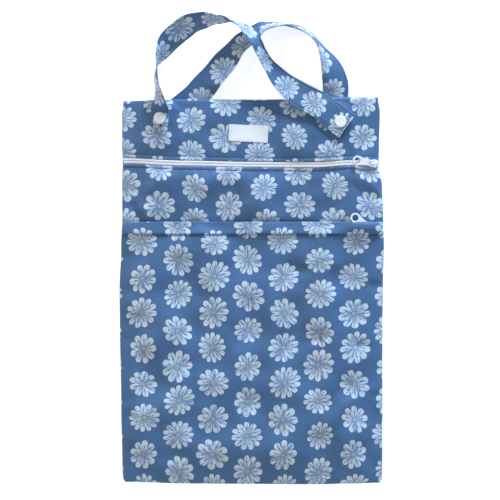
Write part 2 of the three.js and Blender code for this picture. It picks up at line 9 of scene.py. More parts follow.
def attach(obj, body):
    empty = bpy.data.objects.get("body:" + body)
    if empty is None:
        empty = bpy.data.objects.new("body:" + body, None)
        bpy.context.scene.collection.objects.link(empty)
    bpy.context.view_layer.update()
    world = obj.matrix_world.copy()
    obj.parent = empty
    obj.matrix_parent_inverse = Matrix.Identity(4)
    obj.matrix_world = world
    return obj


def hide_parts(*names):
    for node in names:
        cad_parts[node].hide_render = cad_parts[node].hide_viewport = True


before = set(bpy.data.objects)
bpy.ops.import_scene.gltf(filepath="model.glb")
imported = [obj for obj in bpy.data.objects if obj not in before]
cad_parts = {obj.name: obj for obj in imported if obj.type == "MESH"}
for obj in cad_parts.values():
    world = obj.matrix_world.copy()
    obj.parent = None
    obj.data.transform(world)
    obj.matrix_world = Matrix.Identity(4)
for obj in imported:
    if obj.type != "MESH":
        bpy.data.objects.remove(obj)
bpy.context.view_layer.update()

# The bag lies on a white table and is photographed from straight above.
# The camera hangs two metres up with a long lens, so the raised straps spread only a little.
MM = 0.001
camera_height = 2.0
table_seen = 0.5208
camera_data = bpy.data.cameras.new("overhead_camera")
camera_data.sensor_width = 36
camera_data.lens = 36 * camera_height / table_seen
camera_data.clip_end = 20
camera = bpy.data.objects.new("overhead_camera", camera_data)
camera.location = (-0.00156, 0.0422, camera_height)
bpy.context.scene.collection.objects.link(camera)
bpy.context.scene.camera = camera
bpy.context.scene.view_settings.view_transform = "Standard"


# The table is an opal acrylic light table, which keeps the ground white and the shadows on it faint.
# Bluish windows lie above and to the right and a warmer lamp stands to the left, so each crease is
# blue on one side and greyer on the other.
def linear(hex_colour):
    channels = [int(hex_colour[i:i + 2], 16) / 255 for i in (1, 3, 5)]
    toned = [c / 12.92 if c <= 0.04045 else ((c + 0.055) / 1.055) ** 2.4 for c in channels]
    return (*toned, 1.0)


def add_node(tree, kind, inputs=None, **settings):
    node = tree.nodes.new(kind)
    for name, value in settings.items():
        setattr(node, name, value)
    for socket, value in (inputs or {}).items():
        if isinstance(value, bpy.types.NodeSocket):
            tree.links.new(value, node.inputs[socket])
        else:
            node.inputs[socket].default_value = value
    return node


def new_finish(name):
    finish = bpy.data.materials.new(name)
    finish.use_nodes = True
    finish.node_tree.nodes.clear()
    return finish, finish.node_tree


def show_surface(tree, surface):
    add_node(tree, "ShaderNodeOutputMaterial", {"Surface": surface.outputs[0]})


# Cast opal acrylic lit from below: an even white, matt, with only the faintest haze in it.
haze_scale = 3.0         # patches a third of a metre across
opal_acrylic, tree = new_finish("opal_acrylic_sheet")
sheet_haze = add_node(tree, "ShaderNodeTexNoise", {"Scale": haze_scale, "Detail": 2.0})
sheet_colour = add_node(tree, "ShaderNodeMix", {0: sheet_haze.outputs["Fac"], 6: linear("#f4f6f8"),
                                                7: linear("#f8f8f9")}, data_type="RGBA")
show_surface(tree, add_node(tree, "ShaderNodeBsdfPrincipled", {
    "Base Color": sheet_colour.outputs[2], "Roughness": 0.9,
    "Emission Color": linear("#ffffff"), "Emission Strength": 0.62}))
table_mesh = bpy.data.meshes.new("table_top")
table_reach = 4.0
table_below = 0.3 * MM      # clear of the lowest cloth
table_mesh.from_pydata([(x * table_reach, y * table_reach, -table_below)
                        for x, y in ((-1, -1), (1, -1), (1, 1), (-1, 1))], [], [(0, 1, 2, 3)])
table_mesh.materials.append(opal_acrylic)
table_top = bpy.data.objects.new("table_top", table_mesh)
bpy.context.scene.collection.objects.link(table_top)

studio_lights = [
    {"name": "top_window", "from": (0.75, 3.0, 1.1), "size": 1.3, "watts": 170.0, "colour": "#cddff8"},
    {"name": "side_window", "from": (2.0, -0.6, 1.2), "size": 0.9, "watts": 13.0, "colour": "#c8deff"},
    {"name": "lamp_light", "from": (-2.1, 0.8, 1.9), "size": 0.7, "watts": 23.0, "colour": "#fff0e2"},
    {"name": "low_lamp", "from": (-0.3, -2.3, 1.3), "size": 1.0, "watts": 12.0, "colour": "#fff5ec"},
    {"name": "ceiling_light", "from": (0.0, 0.0, 2.4), "size": 2.0, "watts": 7.0, "colour": "#fff6ea"},
]
for light in studio_lights:
    lamp = bpy.data.lights.new(light["name"], "AREA")
    lamp.shape = "DISK"
    lamp.size = light["size"]
    lamp.energy = light["watts"]
    lamp.color = linear(light["colour"])[:3]
    lamp_object = bpy.data.objects.new(light["name"], lamp)
    lamp_object.location = light["from"]
    aim = Vector((0, 0.04, 0)) - lamp_object.location
    lamp_object.rotation_euler = aim.to_track_quat("-Z", "Y").to_euler()
    bpy.context.scene.collection.objects.link(lamp_object)
room_brightness = 0.16
room = bpy.data.worlds.new("white_room")
room.use_nodes = True
room.node_tree.nodes["Background"].inputs[0].default_value = (1, 1, 1, 1)
room.node_tree.nodes["Background"].inputs[1].default_value = room_brightness
bpy.context.scene.world = room

# The back of the bag is one cloth of printed polyester with a waterproof film on its inner side.
# It lies on the table, rolls up into the side and bottom seams, and rides over the back strap's
# two hidden ends.
bag_width = 272.0
bag_length = 400.0
half_width = bag_width / 2
top_y = bag_length / 2
edge_roll = 55.0
tape_half = 14.0
main_zip_y = top_y - 68.5
pocket_zip_y = top_y - 133.5
handle_rise = 88.4
strap_width = 29.0
solid_cloth = 1.0
solid_gap = 0.3
both_rooms = 9.6
seam_height = 3 * solid_cloth + 2 * solid_gap
zip_seam_height = 4 * solid_cloth + 3 * solid_gap
front_height = 3 * solid_cloth + both_rooms
cloth = 0.7
seam_roll = 2.6
strap_lift, strap_spread = 4.6, 25
snap_lift, snap_spread = 6.8, 14
lift_fade = 15

# The side seams reach in and out along the bag, as shares of its length and of half its width, and
# the bottom seam, the zips and the top seam wander across it by shares of its length.
side_stops = [0, 0.01, 0.035, 0.2, 0.42, 0.5, 0.61, 0.7, 0.77, 0.82, 0.87, 0.96, 1]
left_reach = [0.968, 0.982, 0.988, 0.997, 1.007, 1.01, 0.997, 0.989, 0.99, 0.984, 0.99, 0.99, 0.98]
right_reach = [0.975, 1, 1.002, 1.003, 1.003, 1.006, 1.014, 1.008, 1, 0.972, 0.976, 0.983, 0.968]
wander_stops = [-1, -0.5, 0, 0.5, 0.78, 1]
wander = {
    "bottom": [0.0025, -0.002, -0.003, -0.004, -0.002, 0],
    "zip": [0.0085, 0.0015, -0.002, -0.00275, 0.00275, 0.00075],
    "top": [-0.0065, -0.0035, -0.0032, -0.0015, 0.0025, 0.003],
}


def smooth(share):
    held = np.clip(share, 0, 1)
    return held * held * (3 - 2 * held)


def quarter_round(share):
    return np.sqrt(1 - (1 - np.clip(share, 0, 1)) ** 2)


def read_table(stops, values, at):
    stops, values = np.asarray(stops, float), np.asarray(values, float)
    after = np.clip(np.searchsorted(stops, at), 1, len(stops) - 1)
    share = (at - stops[after - 1]) / (stops[after] - stops[after - 1])
    return values[after - 1] + (values[after] - values[after - 1]) * smooth(share)


def place_on_bag(across, y):
    along = (y + top_y) / bag_length
    reach = np.where(across < 0, read_table(side_stops, left_reach, along),
                     read_table(side_stops, right_reach, along))
    clear = tape_half + 2       # the tapes stay straight
    near_bottom = 1 - smooth((y + top_y) / edge_roll)
    near_top = smooth((y - main_zip_y - clear) / (top_y - main_zip_y - clear))
    near_zip = smooth((y - pocket_zip_y - clear) / (main_zip_y - pocket_zip_y - 2 * clear)) * (1 - near_top)
    shift = (near_bottom * read_table(wander_stops, wander["bottom"], across)
             + near_zip * read_table(wander_stops, wander["zip"], across)
             + near_top * read_table(wander_stops, wander["top"], across))
    return across * half_width * reach, y + shift * bag_length


def across_at(x, y):
    reach = np.where(x < 0, read_table(side_stops, left_reach, (y + top_y) / bag_length),
                     read_table(side_stops, right_reach, (y + top_y) / bag_length))
    return x / (half_width * reach)


# The back strap lies hidden from each of its snaps to where it leaves the top seam.
hidden_ends = [((-0.6625, -0.266), (-0.448, -0.001)), ((0.6625, -0.26), (0.643, 0.012))]
hidden_runs = [[np.array((across * half_width * 0.98, top_y + up * handle_rise)) for across, up in ends]
               for ends in hidden_ends]


def lift_by_strap(across, y):
    spot = np.stack(place_on_bag(across, y), -1)
    lift = np.zeros(spot.shape[:-1])
    for snap, leaving in hidden_runs:
        run = leaving - snap
        share = np.clip((spot - snap) @ run / (run @ run), 0, 2)
        to_strap = np.linalg.norm(spot - snap - share[..., None] * run, axis=-1)
        to_snap = np.linalg.norm(spot - snap, axis=-1)
        lift = np.maximum(lift, strap_lift * (1 - smooth((to_strap - strap_spread) / lift_fade)))
        lift = np.maximum(lift, snap_lift * (1 - smooth((to_snap - snap_spread) / lift_fade)))
    return lift


def seam_distance(across, y):
    return np.minimum((1 - np.abs(across)) * half_width, top_y - np.abs(y))


def swell(across, y):
    sideways = np.clip((1 - np.abs(across)) * half_width / edge_roll, 0, 1)
    lengthways = np.clip((top_y - np.abs(y)) / edge_roll, 0, 1)
    return np.sin(sideways * math.pi / 2) * np.sin(lengthways * math.pi / 2)


def at_seam(across, y):
    zip_distance = np.minimum(np.abs(y - main_zip_y), np.abs(y - pocket_zip_y))
    four_layers = 1 - smooth((zip_distance - tape_half - 2) / 16)
    return seam_height + (zip_seam_height - seam_height) * four_layers


def solid_front(across, y):
    low = at_seam(across, y) + lift_by_strap(across, y)
    return low + (front_height - low) * swell(across, y)


def rolled(across, y):
    return quarter_round(seam_distance(across, y) / seam_roll)


def seam_middle(across, y):
    return 0.55 * at_seam(across, y) + lift_by_strap(across, y)


def back_outside(across, y):
    free = lift_by_strap(across, y)
    return seam_middle(across, y) - 0.5 + (free - seam_middle(across, y) + 0.5) * rolled(across, y)


def cloth_mesh(name, upper, lower, print_mm, edge_highlight):
    rows, columns = upper.shape[:2]
    count = rows * columns
    index = np.arange(count).reshape(rows, columns)
    quads = np.stack([index[:-1, :-1], index[:-1, 1:], index[1:, 1:], index[1:, :-1]], -1).reshape(-1, 4)
    rim = np.concatenate([index[0, :-1], index[:-1, -1], index[-1, :0:-1], index[:0:-1, 0]])
    ahead = np.roll(rim, -1)
    faces = np.concatenate([quads, quads[:, ::-1] + count,
                            np.stack([rim, rim + count, ahead + count, ahead], -1)])
    mesh = bpy.data.meshes.new(name)
    points = np.concatenate([upper.reshape(-1, 3), lower.reshape(-1, 3)]) * MM
    mesh.from_pydata(points.tolist(), [], faces.tolist())
    mesh.attributes.new("print_mm", "FLOAT_VECTOR", "POINT").data.foreach_set(
        "vector", np.tile(print_mm.reshape(-1, 3), (2, 1)).astype(np.float32).ravel())
    mesh.attributes.new("edge_highlight", "FLOAT", "POINT").data.foreach_set(
        "value", np.tile(edge_highlight.ravel(), 2).astype(np.float32))
    mesh.shade_smooth()
    mesh.set_sharp_from_angle(angle=math.radians(50))
    return mesh


def steps_between(start, stop, step, *fine_spots):
    spots = [np.arange(start, stop, step), [start, stop]]
    for spot, offsets in fine_spots:
        spots.append(spot + np.asarray(offsets))
    spots = np.unique(np.concatenate(spots))
    spots = spots[(spots >= start) & (spots <= stop)]
    keep = [spots[0]]
    for spot in spots[1:-1]:
        if spot - keep[-1] > 0.16:
            keep.append(spot)
    return np.array([*keep, spots[-1]])


near_seam = np.array([0, 0.2, 0.5, 0.9, 1.4, 2.0, 2.6, 3.6, 5.0])
full_columns = steps_between(-half_width, half_width, 2.4, (-half_width, near_seam),
                             (half_width, -near_seam)) / half_width


def cloth_sheet(name, rows, columns, upper, lower, print_shift, edge_highlight=None, place=place_on_bag):
    across, y = np.meshgrid(columns, rows)
    x_spot, y_spot = place(across, y)
    upper_points = np.stack([x_spot, y_spot, upper(across, y)], -1)
    lower_points = np.stack([x_spot, y_spot, lower(across, y)], -1)
    print_mm = np.stack([across * half_width + print_shift[0], y + print_shift[1], np.zeros_like(y)], -1)
    rim_highlight = np.zeros_like(y) if edge_highlight is None else edge_highlight(across, y)
    return cloth_mesh(name, upper_points, lower_points, print_mm, rim_highlight)


def place_piece(name, mesh, finish):
    piece = bpy.data.objects.new(name, mesh)
    mesh.materials.clear()
    mesh.materials.append(finish)
    bpy.context.scene.collection.objects.link(piece)
    return piece


# Printed polyester: a plain weave with a soft satin sheen. Daisies in pale blue ink are laid out in
# half-drop columns on a denim blue ground, each turned and sized a little differently.
daisy_spacing = 36.5
daisy_stray = 1.6
smallest_daisy, largest_daisy = 14.8, 17.6
fewest_petals = 9.0
patch_scale = 0.02       # patches of slightly paler dye, about 50 mm across
crumple_scale = 0.06     # crumples about 17 mm across
thread_spacing = 0.9     # the real thread is 0.3 mm apart and too fine to show
printed_cloth, tree = new_finish("printed_polyester")
cloth_spot = add_node(tree, "ShaderNodeAttribute", attribute_name="print_mm")
# Each square of the print holds one daisy, nudged off its middle, turned and squeezed a little.
columns_of_print = add_node(tree, "ShaderNodeVectorMath", {0: cloth_spot.outputs["Vector"],
                            1: (daisy_spacing, daisy_spacing, 1)}, operation="DIVIDE")
column_split = add_node(tree, "ShaderNodeSeparateXYZ", {0: columns_of_print.outputs[0]})
column_number = add_node(tree, "ShaderNodeMath", {0: column_split.outputs[0]}, operation="FLOOR")
half_drop = add_node(tree, "ShaderNodeMath", {0: column_number.outputs[0], 1: 0.5}, operation="MULTIPLY")
drop_vector = add_node(tree, "ShaderNodeCombineXYZ", {1: half_drop.outputs[0]})
dropped = add_node(tree, "ShaderNodeVectorMath", {0: columns_of_print.outputs[0],
                   1: drop_vector.outputs[0]}, operation="ADD")
daisy_number = add_node(tree, "ShaderNodeVectorMath", {0: dropped.outputs[0]}, operation="FLOOR")
in_square = add_node(tree, "ShaderNodeVectorMath", {0: dropped.outputs[0]}, operation="FRACTION")
from_middle = add_node(tree, "ShaderNodeVectorMath", {0: in_square.outputs[0],
                       1: (daisy_spacing, daisy_spacing, 0),
                       2: (-daisy_spacing / 2, -daisy_spacing / 2, 0)}, operation="MULTIPLY_ADD")
chance = add_node(tree, "ShaderNodeTexWhiteNoise", {"Vector": daisy_number.outputs[0]},
                  noise_dimensions="2D")
nudge = add_node(tree, "ShaderNodeVectorMath", {0: chance.outputs["Color"],
                 1: (2 * daisy_stray, 2 * daisy_stray, 0), 2: (-daisy_stray, -daisy_stray, 0)},
                 operation="MULTIPLY_ADD")
nudged = add_node(tree, "ShaderNodeVectorMath", {0: from_middle.outputs[0], 1: nudge.outputs[0]},
                  operation="SUBTRACT")
turn = add_node(tree, "ShaderNodeMath", {0: chance.outputs["Value"], 1: 2 * math.pi}, operation="MULTIPLY")
turned = add_node(tree, "ShaderNodeVectorRotate", {"Vector": nudged.outputs[0],
                  "Angle": turn.outputs[0]}, rotation_type="Z_AXIS")
squeezed = add_node(tree, "ShaderNodeVectorMath", {0: turned.outputs[0], 1: (1, 1.13, 0)},
                    operation="MULTIPLY")
from_heart = add_node(tree, "ShaderNodeVectorMath", {0: squeezed.outputs[0]}, operation="LENGTH")
heart_split = add_node(tree, "ShaderNodeSeparateXYZ", {0: squeezed.outputs[0]})
round_heart = add_node(tree, "ShaderNodeMath", {0: heart_split.outputs[1], 1: heart_split.outputs[0]},
                       operation="ARCTAN2")
chance_split = add_node(tree, "ShaderNodeSeparateXYZ", {0: chance.outputs["Color"]})
daisy_radius = add_node(tree, "ShaderNodeMapRange", {"Value": chance_split.outputs[2],
                        "To Min": smallest_daisy, "To Max": largest_daisy})
reach = add_node(tree, "ShaderNodeMath", {0: from_heart.outputs["Value"], 1: daisy_radius.outputs[0]},
                 operation="DIVIDE")
count_share = add_node(tree, "ShaderNodeMath", {0: chance_split.outputs[1], 1: 2.99}, operation="MULTIPLY")
count_step = add_node(tree, "ShaderNodeMath", {0: count_share.outputs[0]}, operation="FLOOR")
petal_count = add_node(tree, "ShaderNodeMath", {0: count_step.outputs[0], 1: 2.0, 2: fewest_petals},
                       operation="MULTIPLY_ADD")
petal_angle = add_node(tree, "ShaderNodeMath", {0: round_heart.outputs[0], 1: petal_count.outputs[0]},
                       operation="MULTIPLY")
petal_turns = add_node(tree, "ShaderNodeMath", {0: petal_angle.outputs[0], 1: 2 * math.pi},
                       operation="DIVIDE")
# Dry brush strokes run along the petals, and the ground is a little uneven in its dye.
stroke_spot = add_node(tree, "ShaderNodeCombineXYZ", {0: petal_turns.outputs[0], 1: reach.outputs[0],
                       2: chance.outputs["Value"]})
stroke_stretch = add_node(tree, "ShaderNodeVectorMath", {0: stroke_spot.outputs[0], 1: (5.0, 1.1, 40)},
                          operation="MULTIPLY")
brush = add_node(tree, "ShaderNodeTexNoise", {"Vector": stroke_stretch.outputs[0], "Scale": 1.0,
                 "Detail": 1.0})
petal_tip = add_node(tree, "ShaderNodeMath", {0: reach.outputs[0], 1: 0.22, 2: brush.outputs["Fac"]},
                     operation="MULTIPLY_ADD")
strokes = add_node(tree, "ShaderNodeMapRange", {"Value": petal_tip.outputs[0], "From Min": 0.50,
                   "From Max": 0.68})
ground_patches = add_node(tree, "ShaderNodeTexNoise", {"Vector": cloth_spot.outputs["Vector"],
                          "Scale": patch_scale, "Detail": 3.0})
ground = add_node(tree, "ShaderNodeMix", {0: ground_patches.outputs["Fac"], 6: linear("#42658d"),
                  7: linear("#4c729d")}, data_type="RGBA")
petal = add_node(tree, "ShaderNodeMix", {0: strokes.outputs[0], 6: linear("#7896b5"),
                 7: linear("#c4d5e2")}, data_type="RGBA")
# A daisy is a long outer ring of petals and a short inner one, turned by half a petal, each petal
# with a bare rib along its middle.
shown = ground
for ring, (ring_reach, half_turn) in enumerate(((1.0, 0.0), (0.64, 0.5))):
    ring_turns = add_node(tree, "ShaderNodeMath", {0: petal_turns.outputs[0], 1: half_turn},
                          operation="ADD")
    from_rib = add_node(tree, "ShaderNodeMath", {0: ring_turns.outputs[0], 1: 0.5}, operation="PINGPONG")
    along_petal = add_node(tree, "ShaderNodeMath", {0: reach.outputs[0], 1: ring_reach},
                           operation="DIVIDE")
    petal_shape = add_node(tree, "ShaderNodeFloatCurve", {"Value": along_petal.outputs[0]})
    shape_curve = petal_shape.mapping.curves[0]
    shape_curve.points[0].location = (0.0, 0.30)
    shape_curve.points[1].location = (1.0, 0.0)
    for place, half_share in ((0.45, 0.41), (0.72, 0.43), (0.88, 0.34), (0.96, 0.20)):
        shape_curve.points.new(place, half_share)
    petal_shape.mapping.update()
    within = add_node(tree, "ShaderNodeMath", {0: petal_shape.outputs[0], 1: from_rib.outputs[0]},
                      operation="SUBTRACT")
    if ring:
        inked_edge = add_node(tree, "ShaderNodeMapRange", {"Value": within.outputs[0], "From Min": -0.09,
                              "From Max": -0.06})
        shown = add_node(tree, "ShaderNodeMix", {0: inked_edge.outputs[0], 6: shown.outputs[2],
                         7: ground.outputs[2]}, data_type="RGBA")
    petal_here = add_node(tree, "ShaderNodeMapRange", {"Value": within.outputs[0], "From Min": -0.012,
                          "From Max": 0.012})
    shown = add_node(tree, "ShaderNodeMix", {0: petal_here.outputs[0], 6: shown.outputs[2],
                     7: petal.outputs[2]}, data_type="RGBA")
    rib = add_node(tree, "ShaderNodeMapRange", {"Value": from_rib.outputs[0], "From Min": 0.035,
                   "From Max": 0.06})
    rib_fade = add_node(tree, "ShaderNodeMapRange", {"Value": along_petal.outputs[0], "From Min": 0.62,
                        "From Max": 0.72})
    no_rib = add_node(tree, "ShaderNodeMath", {0: rib.outputs[0], 1: rib_fade.outputs[0]},
                      operation="MAXIMUM")
    beyond = add_node(tree, "ShaderNodeMath", {0: no_rib.outputs[0], 1: 1.0}, operation="MINIMUM")
    shown = add_node(tree, "ShaderNodeMix", {0: beyond.outputs[0], 6: ground.outputs[2],
                     7: shown.outputs[2]}, data_type="RGBA")
# Its heart is a dot within two thin rings, and a painted highlight makes folded edges and seam rolls paler.
heart_rings = add_node(tree, "ShaderNodeValToRGB", {0: reach.outputs[0]})
heart_rings.color_ramp.interpolation = "CONSTANT"
heart_rings.color_ramp.elements[0].color = linear("#c0d4e4")
heart_rings.color_ramp.elements[1].position = 0.045
heart_rings.color_ramp.elements[1].color = linear("#3c5c82")
heart_rings.color_ramp.elements.new(0.085).color = linear("#b0c7dc")
heart_rings.color_ramp.elements.new(0.135).color = linear("#3c5c82")
heart_here = add_node(tree, "ShaderNodeMath", {0: reach.outputs[0], 1: 0.175}, operation="LESS_THAN")
inked = add_node(tree, "ShaderNodeMix", {0: heart_here.outputs[0], 6: shown.outputs[2],
                 7: heart_rings.outputs[0]}, data_type="RGBA")
# Painted highlight: the edge attribute mixes a paler blue into the cloth along its folded rims.
edge_highlight = add_node(tree, "ShaderNodeAttribute", attribute_name="edge_highlight")
with_edge_highlight = add_node(tree, "ShaderNodeMix", {0: edge_highlight.outputs["Fac"], 6: inked.outputs[2],
                  7: linear("#86a3c2")}, data_type="RGBA")
thread_turns = add_node(tree, "ShaderNodeVectorMath", {0: cloth_spot.outputs["Vector"],
                        1: (math.pi / thread_spacing, math.pi / thread_spacing, 0)}, operation="MULTIPLY")
thread_waves = add_node(tree, "ShaderNodeVectorMath", {0: thread_turns.outputs[0]}, operation="SINE")
thread_split = add_node(tree, "ShaderNodeSeparateXYZ", {0: thread_waves.outputs[0]})
weave = add_node(tree, "ShaderNodeMath", {0: thread_split.outputs[0], 1: thread_split.outputs[1]},
                 operation="MULTIPLY")
weave_bump = add_node(tree, "ShaderNodeBump", {"Height": weave.outputs[0], "Strength": 0.35,
                      "Distance": 0.05 * MM})
crumple = add_node(tree, "ShaderNodeTexNoise", {"Vector": cloth_spot.outputs["Vector"],
                   "Scale": crumple_scale, "Detail": 4.0, "Roughness": 0.5})
crumple_bump = add_node(tree, "ShaderNodeBump", {"Height": crumple.outputs["Fac"], "Strength": 0.5,
                        "Distance": 2.2 * MM, "Normal": weave_bump.outputs[0]})
show_surface(tree, add_node(tree, "ShaderNodeBsdfPrincipled", {
    "Base Color": with_edge_highlight.outputs[2], "Roughness": 0.55, "IOR": 1.5, "Sheen Weight": 0.06,
    "Sheen Roughness": 0.45, "Specular IOR Level": 0.3, "Sheen Tint": linear("#b9d2f0"),
    "Normal": crumple_bump.outputs[0]}))

back_rows = steps_between(-top_y, top_y, 2.6, (-top_y, near_seam), (top_y, -near_seam))
back_mesh = cloth_sheet(
    "back_cloth", back_rows, full_columns,
    lambda across, y: back_outside(across, y) + cloth * (0.3 + 0.7 * rolled(across, y)),
    back_outside, (430.0, 311.0))
back_cloth = place_piece("back_cloth", back_mesh, printed_cloth)
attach(back_cloth, "bag")
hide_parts("back_panel")

# The front cloth is never quite flat: it dips to the zips, puckers at the seams, and keeps the
# creases that it was folded and washed with. Every layer of the front follows this one drape.
zip_stitch = 6.5
hem_start = pocket_zip_y - 8.7
hem_depth = 13.6
hem_gap = 2.6
room_for_folds = 5.2        # the layers below leave no more room than this
ripple_share = 0.012
hem_end = hem_start + hem_depth
# The cloth lies still about each slider and each snap of the front strap: a spot and its reach.
still_spots = [(126, 131.5, 16), (121.6, 66.5, 18), (-93.5, 178.5, 13), (91.5, 175, 17)]
# Each soft crease runs from one spot to another, has a half width and a height, and fades at its ends.
creases = [
    (50, 26, 48, 18, 11.0, -2.4), (127, 9, 125, 1, 9.0, -2.1), (69, -44, 72, -52, 10.0, -3.6),
    (114, -52, 111, -60, 9.0, -3.4), (109, 50, 112, 43, 9.0, -2.0), (-121, -96, -119, -150, 6.0, 1.6),
    (-60, 190, -58, 168, 9.0, -1.4), (38, 186, 30, 158, 9.0, 1.6), (10, 116, -6, 96, 9.0, -1.5),
    (-80, 20, -52, -20, 11.0, 2.1), (-20, -90, -44, -120, 11.0, 2.0), (20, -150, 48, -172, 11.0, 2.0),
    (-110, -170, -88, -186, 8.0, 1.5), (112, -160, 128, -186, 7.0, -1.6), (-40, 40, -64, 8, 11.0, -1.9),
    (6, 20, 26, -22, 12.0, 2.0), (-96, -40, -70, -78, 11.0, -1.9), (-10, -20, 8, -60, 11.0, -2.0),
    (-60, -130, -36, -160, 11.0, -1.9), (-20, 100, -40, 88, 8.0, 1.5), (50, 108, 70, 92, 8.0, 1.5),
    (62, 176, 60, 150, 9.0, -1.4), (-80, 176, -74, 156, 8.0, 1.2), (-112, 30, -124, 6, 7.0, 1.5),
]
# A pressed fold has a sharp crest, in the same figures.
pressed_folds = [
    (114.7, 120, 137, 98, 6.0, 4.8), (103, 112, 125, 89, 8.0, -3.1), (-95, 119, -108, 101, 7.0, 3.1),
    (-31, 124, -50, 106, 6.0, 2.6), (-19, 190, -40, 166, 7.0, 2.6), (104, -112, 80, -139, 6.5, 4.8),
    (95, -98, 76, -122, 6.0, -2.6), (114, -120, 94, -143, 7.0, -2.6), (136, -92, 125, -106, 4.0, 2.3),
    (136, -114, 130, -122, 4.0, 1.8), (69, 37, 95, 24, 9.0, 2.5), (82, 0, 80, -40, 9.0, 2.5),
    (113, -5, 108, -26, 8.0, 2.3), (66, -54, 72, -72, 8.0, 2.1), (119, 180, 121, 146, 7.0, -2.1),
    (-124, 90, -118, 73, 3.0, -2.9), (-112, 88, -109, 72, 4.0, 2.1), (-88, -110, -112, -134, 10.0, 2.6),
    (-130, -8, -114, -22, 7.0, 2.3), (-30, -40, -8, -74, 10.0, 2.1), (8, -120, 30, -150, 10.0, -2.1),
    (-128, -150, -108, -168, 8.0, 2.1), (114, 88, 136, 84, 6.0, 2.4), (112, -64, 101, -90, 5.0, 2.6),
    (-84, 34, -70, 4, 9.0, -2.1), (40, -150, 20, -178, 9.0, 2.0),
]
crease_chance = np.random.default_rng(11)
ripples = []
for count, shortest, longest in ((9, 48, 105), (5, 30, 46)):
    for _ in range(count):
        ripples.append((crease_chance.uniform(0, math.pi), crease_chance.uniform(shortest, longest),
                        crease_chance.uniform(0, 6.3)))


def gap_at_hem(y):
    return hem_gap * np.exp(-np.abs(y - hem_end - 0.3) / 2.4)


def across_fold(fold, overrun, x_spot, y_spot):
    from_x, from_y, to_x, to_y = fold
    run = np.array((to_x - from_x, to_y - from_y), float)
    length = np.linalg.norm(run)
    along = ((x_spot - from_x) * run[0] + (y_spot - from_y) * run[1]) / length ** 2
    off = ((x_spot - from_x) * run[1] - (y_spot - from_y) * run[0]) / length
    return off, smooth((along + overrun) / 0.6) * smooth((1 + overrun - along) / 0.6)


def drape(across, y):
    x_spot, y_spot = place_on_bag(across, y)
    height = np.zeros_like(x_spot)
    for heading, wavelength, phase in ripples:
        turns = (x_spot * math.cos(heading) + y_spot * math.sin(heading)) / wavelength
        height += ripple_share * wavelength * np.sin(2 * math.pi * turns + phase)
    above_main = y - main_zip_y
    height -= 2.2 * np.exp(-np.maximum(above_main - zip_stitch, 0) / 15) * smooth((above_main + 16) / 12)
    above_hem = y - hem_end
    height -= 4.0 * np.exp(-np.maximum(above_hem, 0) / 20) * smooth((y - hem_start + 2) / 15)
    height -= gap_at_hem(y)
    height *= swell(across, y)
    for *fold, half, rise in creases:
        off, fade = across_fold(fold, 0.35, x_spot, y_spot)
        height += rise * fade * np.exp(-np.abs(off / half) ** 1.6)
    for *fold, half, rise in pressed_folds:
        off, fade = across_fold(fold, 0.3, x_spot, y_spot)
        height += rise * fade * np.exp(-(np.sqrt(off ** 2 + 0.8) - 0.9) / half)
    height = room_for_folds * np.tanh(height / room_for_folds)
    side = (1 - np.abs(across)) * half_width
    ends = top_y - np.abs(y)
    pucker = np.sin(y_spot / 2.3 + 2.0 * np.sin(y_spot / 17 + across)) * np.exp(-side / 6)
    pucker += np.sin(x_spot / 2.6 + 2.0 * np.sin(x_spot / 19)) * np.exp(-ends / 6)
    height += 0.32 * pucker
    by_stitches = np.exp(-np.abs(np.abs(above_main) - zip_stitch - 1.5) / 5)
    height += 0.3 * by_stitches * np.sin(x_spot / 2.1 + 2.6 * np.sin(x_spot / 13 + y_spot / 30))
    height *= smooth(seam_distance(across, y) / 5)
    for still_x, still_y, still_reach in still_spots:
        away = np.hypot(x_spot - still_x, y_spot - still_y)
        height *= smooth((away - still_reach * 0.5) / still_reach)
    return height


def front_face(across, y):
    free = solid_front(across, y) + drape(across, y)
    middle = seam_middle(across, y)
    return middle + (free - middle) * rolled(across, y)


def front_inside(across, y):
    return front_face(across, y) - cloth * (0.3 + 0.7 * rolled(across, y))


# The cloth between the main room and the front pocket is the same polyester without a print.
# It is sewn into the side and bottom seams and, at its top, to the tape of the pocket zip.
# Plain polyester with a waterproof film: a dark denim blue, smoother than the print, faintly cloudy.
film_scale = 0.03        # clouds about 33 mm across
inner_cloth, tree = new_finish("plain_polyester")
cloth_spot = add_node(tree, "ShaderNodeAttribute", attribute_name="print_mm")
film_patches = add_node(tree, "ShaderNodeTexNoise", {"Vector": cloth_spot.outputs["Vector"],
                        "Scale": film_scale, "Detail": 3.0})
film_colour = add_node(tree, "ShaderNodeMix", {0: film_patches.outputs["Fac"], 6: linear("#38587f"),
                       7: linear("#41648e")}, data_type="RGBA")
film_bump = add_node(tree, "ShaderNodeBump", {"Height": film_patches.outputs["Fac"], "Strength": 0.4,
                     "Distance": 1.0 * MM})
show_surface(tree, add_node(tree, "ShaderNodeBsdfPrincipled", {
    "Base Color": film_colour.outputs[2], "Roughness": 0.45, "IOR": 1.5,
    "Normal": film_bump.outputs[0]}))

slider_below = 3.95
slider_clearance = 0.35
coil_proud = 0.5
seam_allowance = 3
layer_clearance = 0.15


def divider_top(across, y):
    seam = 2 * solid_cloth + solid_gap
    free = seam + (2 * solid_cloth + both_rooms / 2 - seam) * swell(across, y)
    front = solid_front(across, y)
    below_slider = np.maximum(seam, np.minimum(free, front + coil_proud - slider_below - slider_clearance))
    low = np.where(np.abs(y - pocket_zip_y) < tape_half + 2, below_slider, free)
    sewn = front - 2 * solid_cloth - 2 * solid_gap
    return low + (sewn - low) * smooth((y - pocket_zip_y - 5) / (tape_half - 5))


divider_columns = steps_between(-half_width + seam_allowance, half_width - seam_allowance,
                                4.5) / half_width
divider_rows = steps_between(-top_y + seam_allowance, pocket_zip_y + tape_half, 4.5,
                             (pocket_zip_y, (-8, 0, 5, 8, 11)))


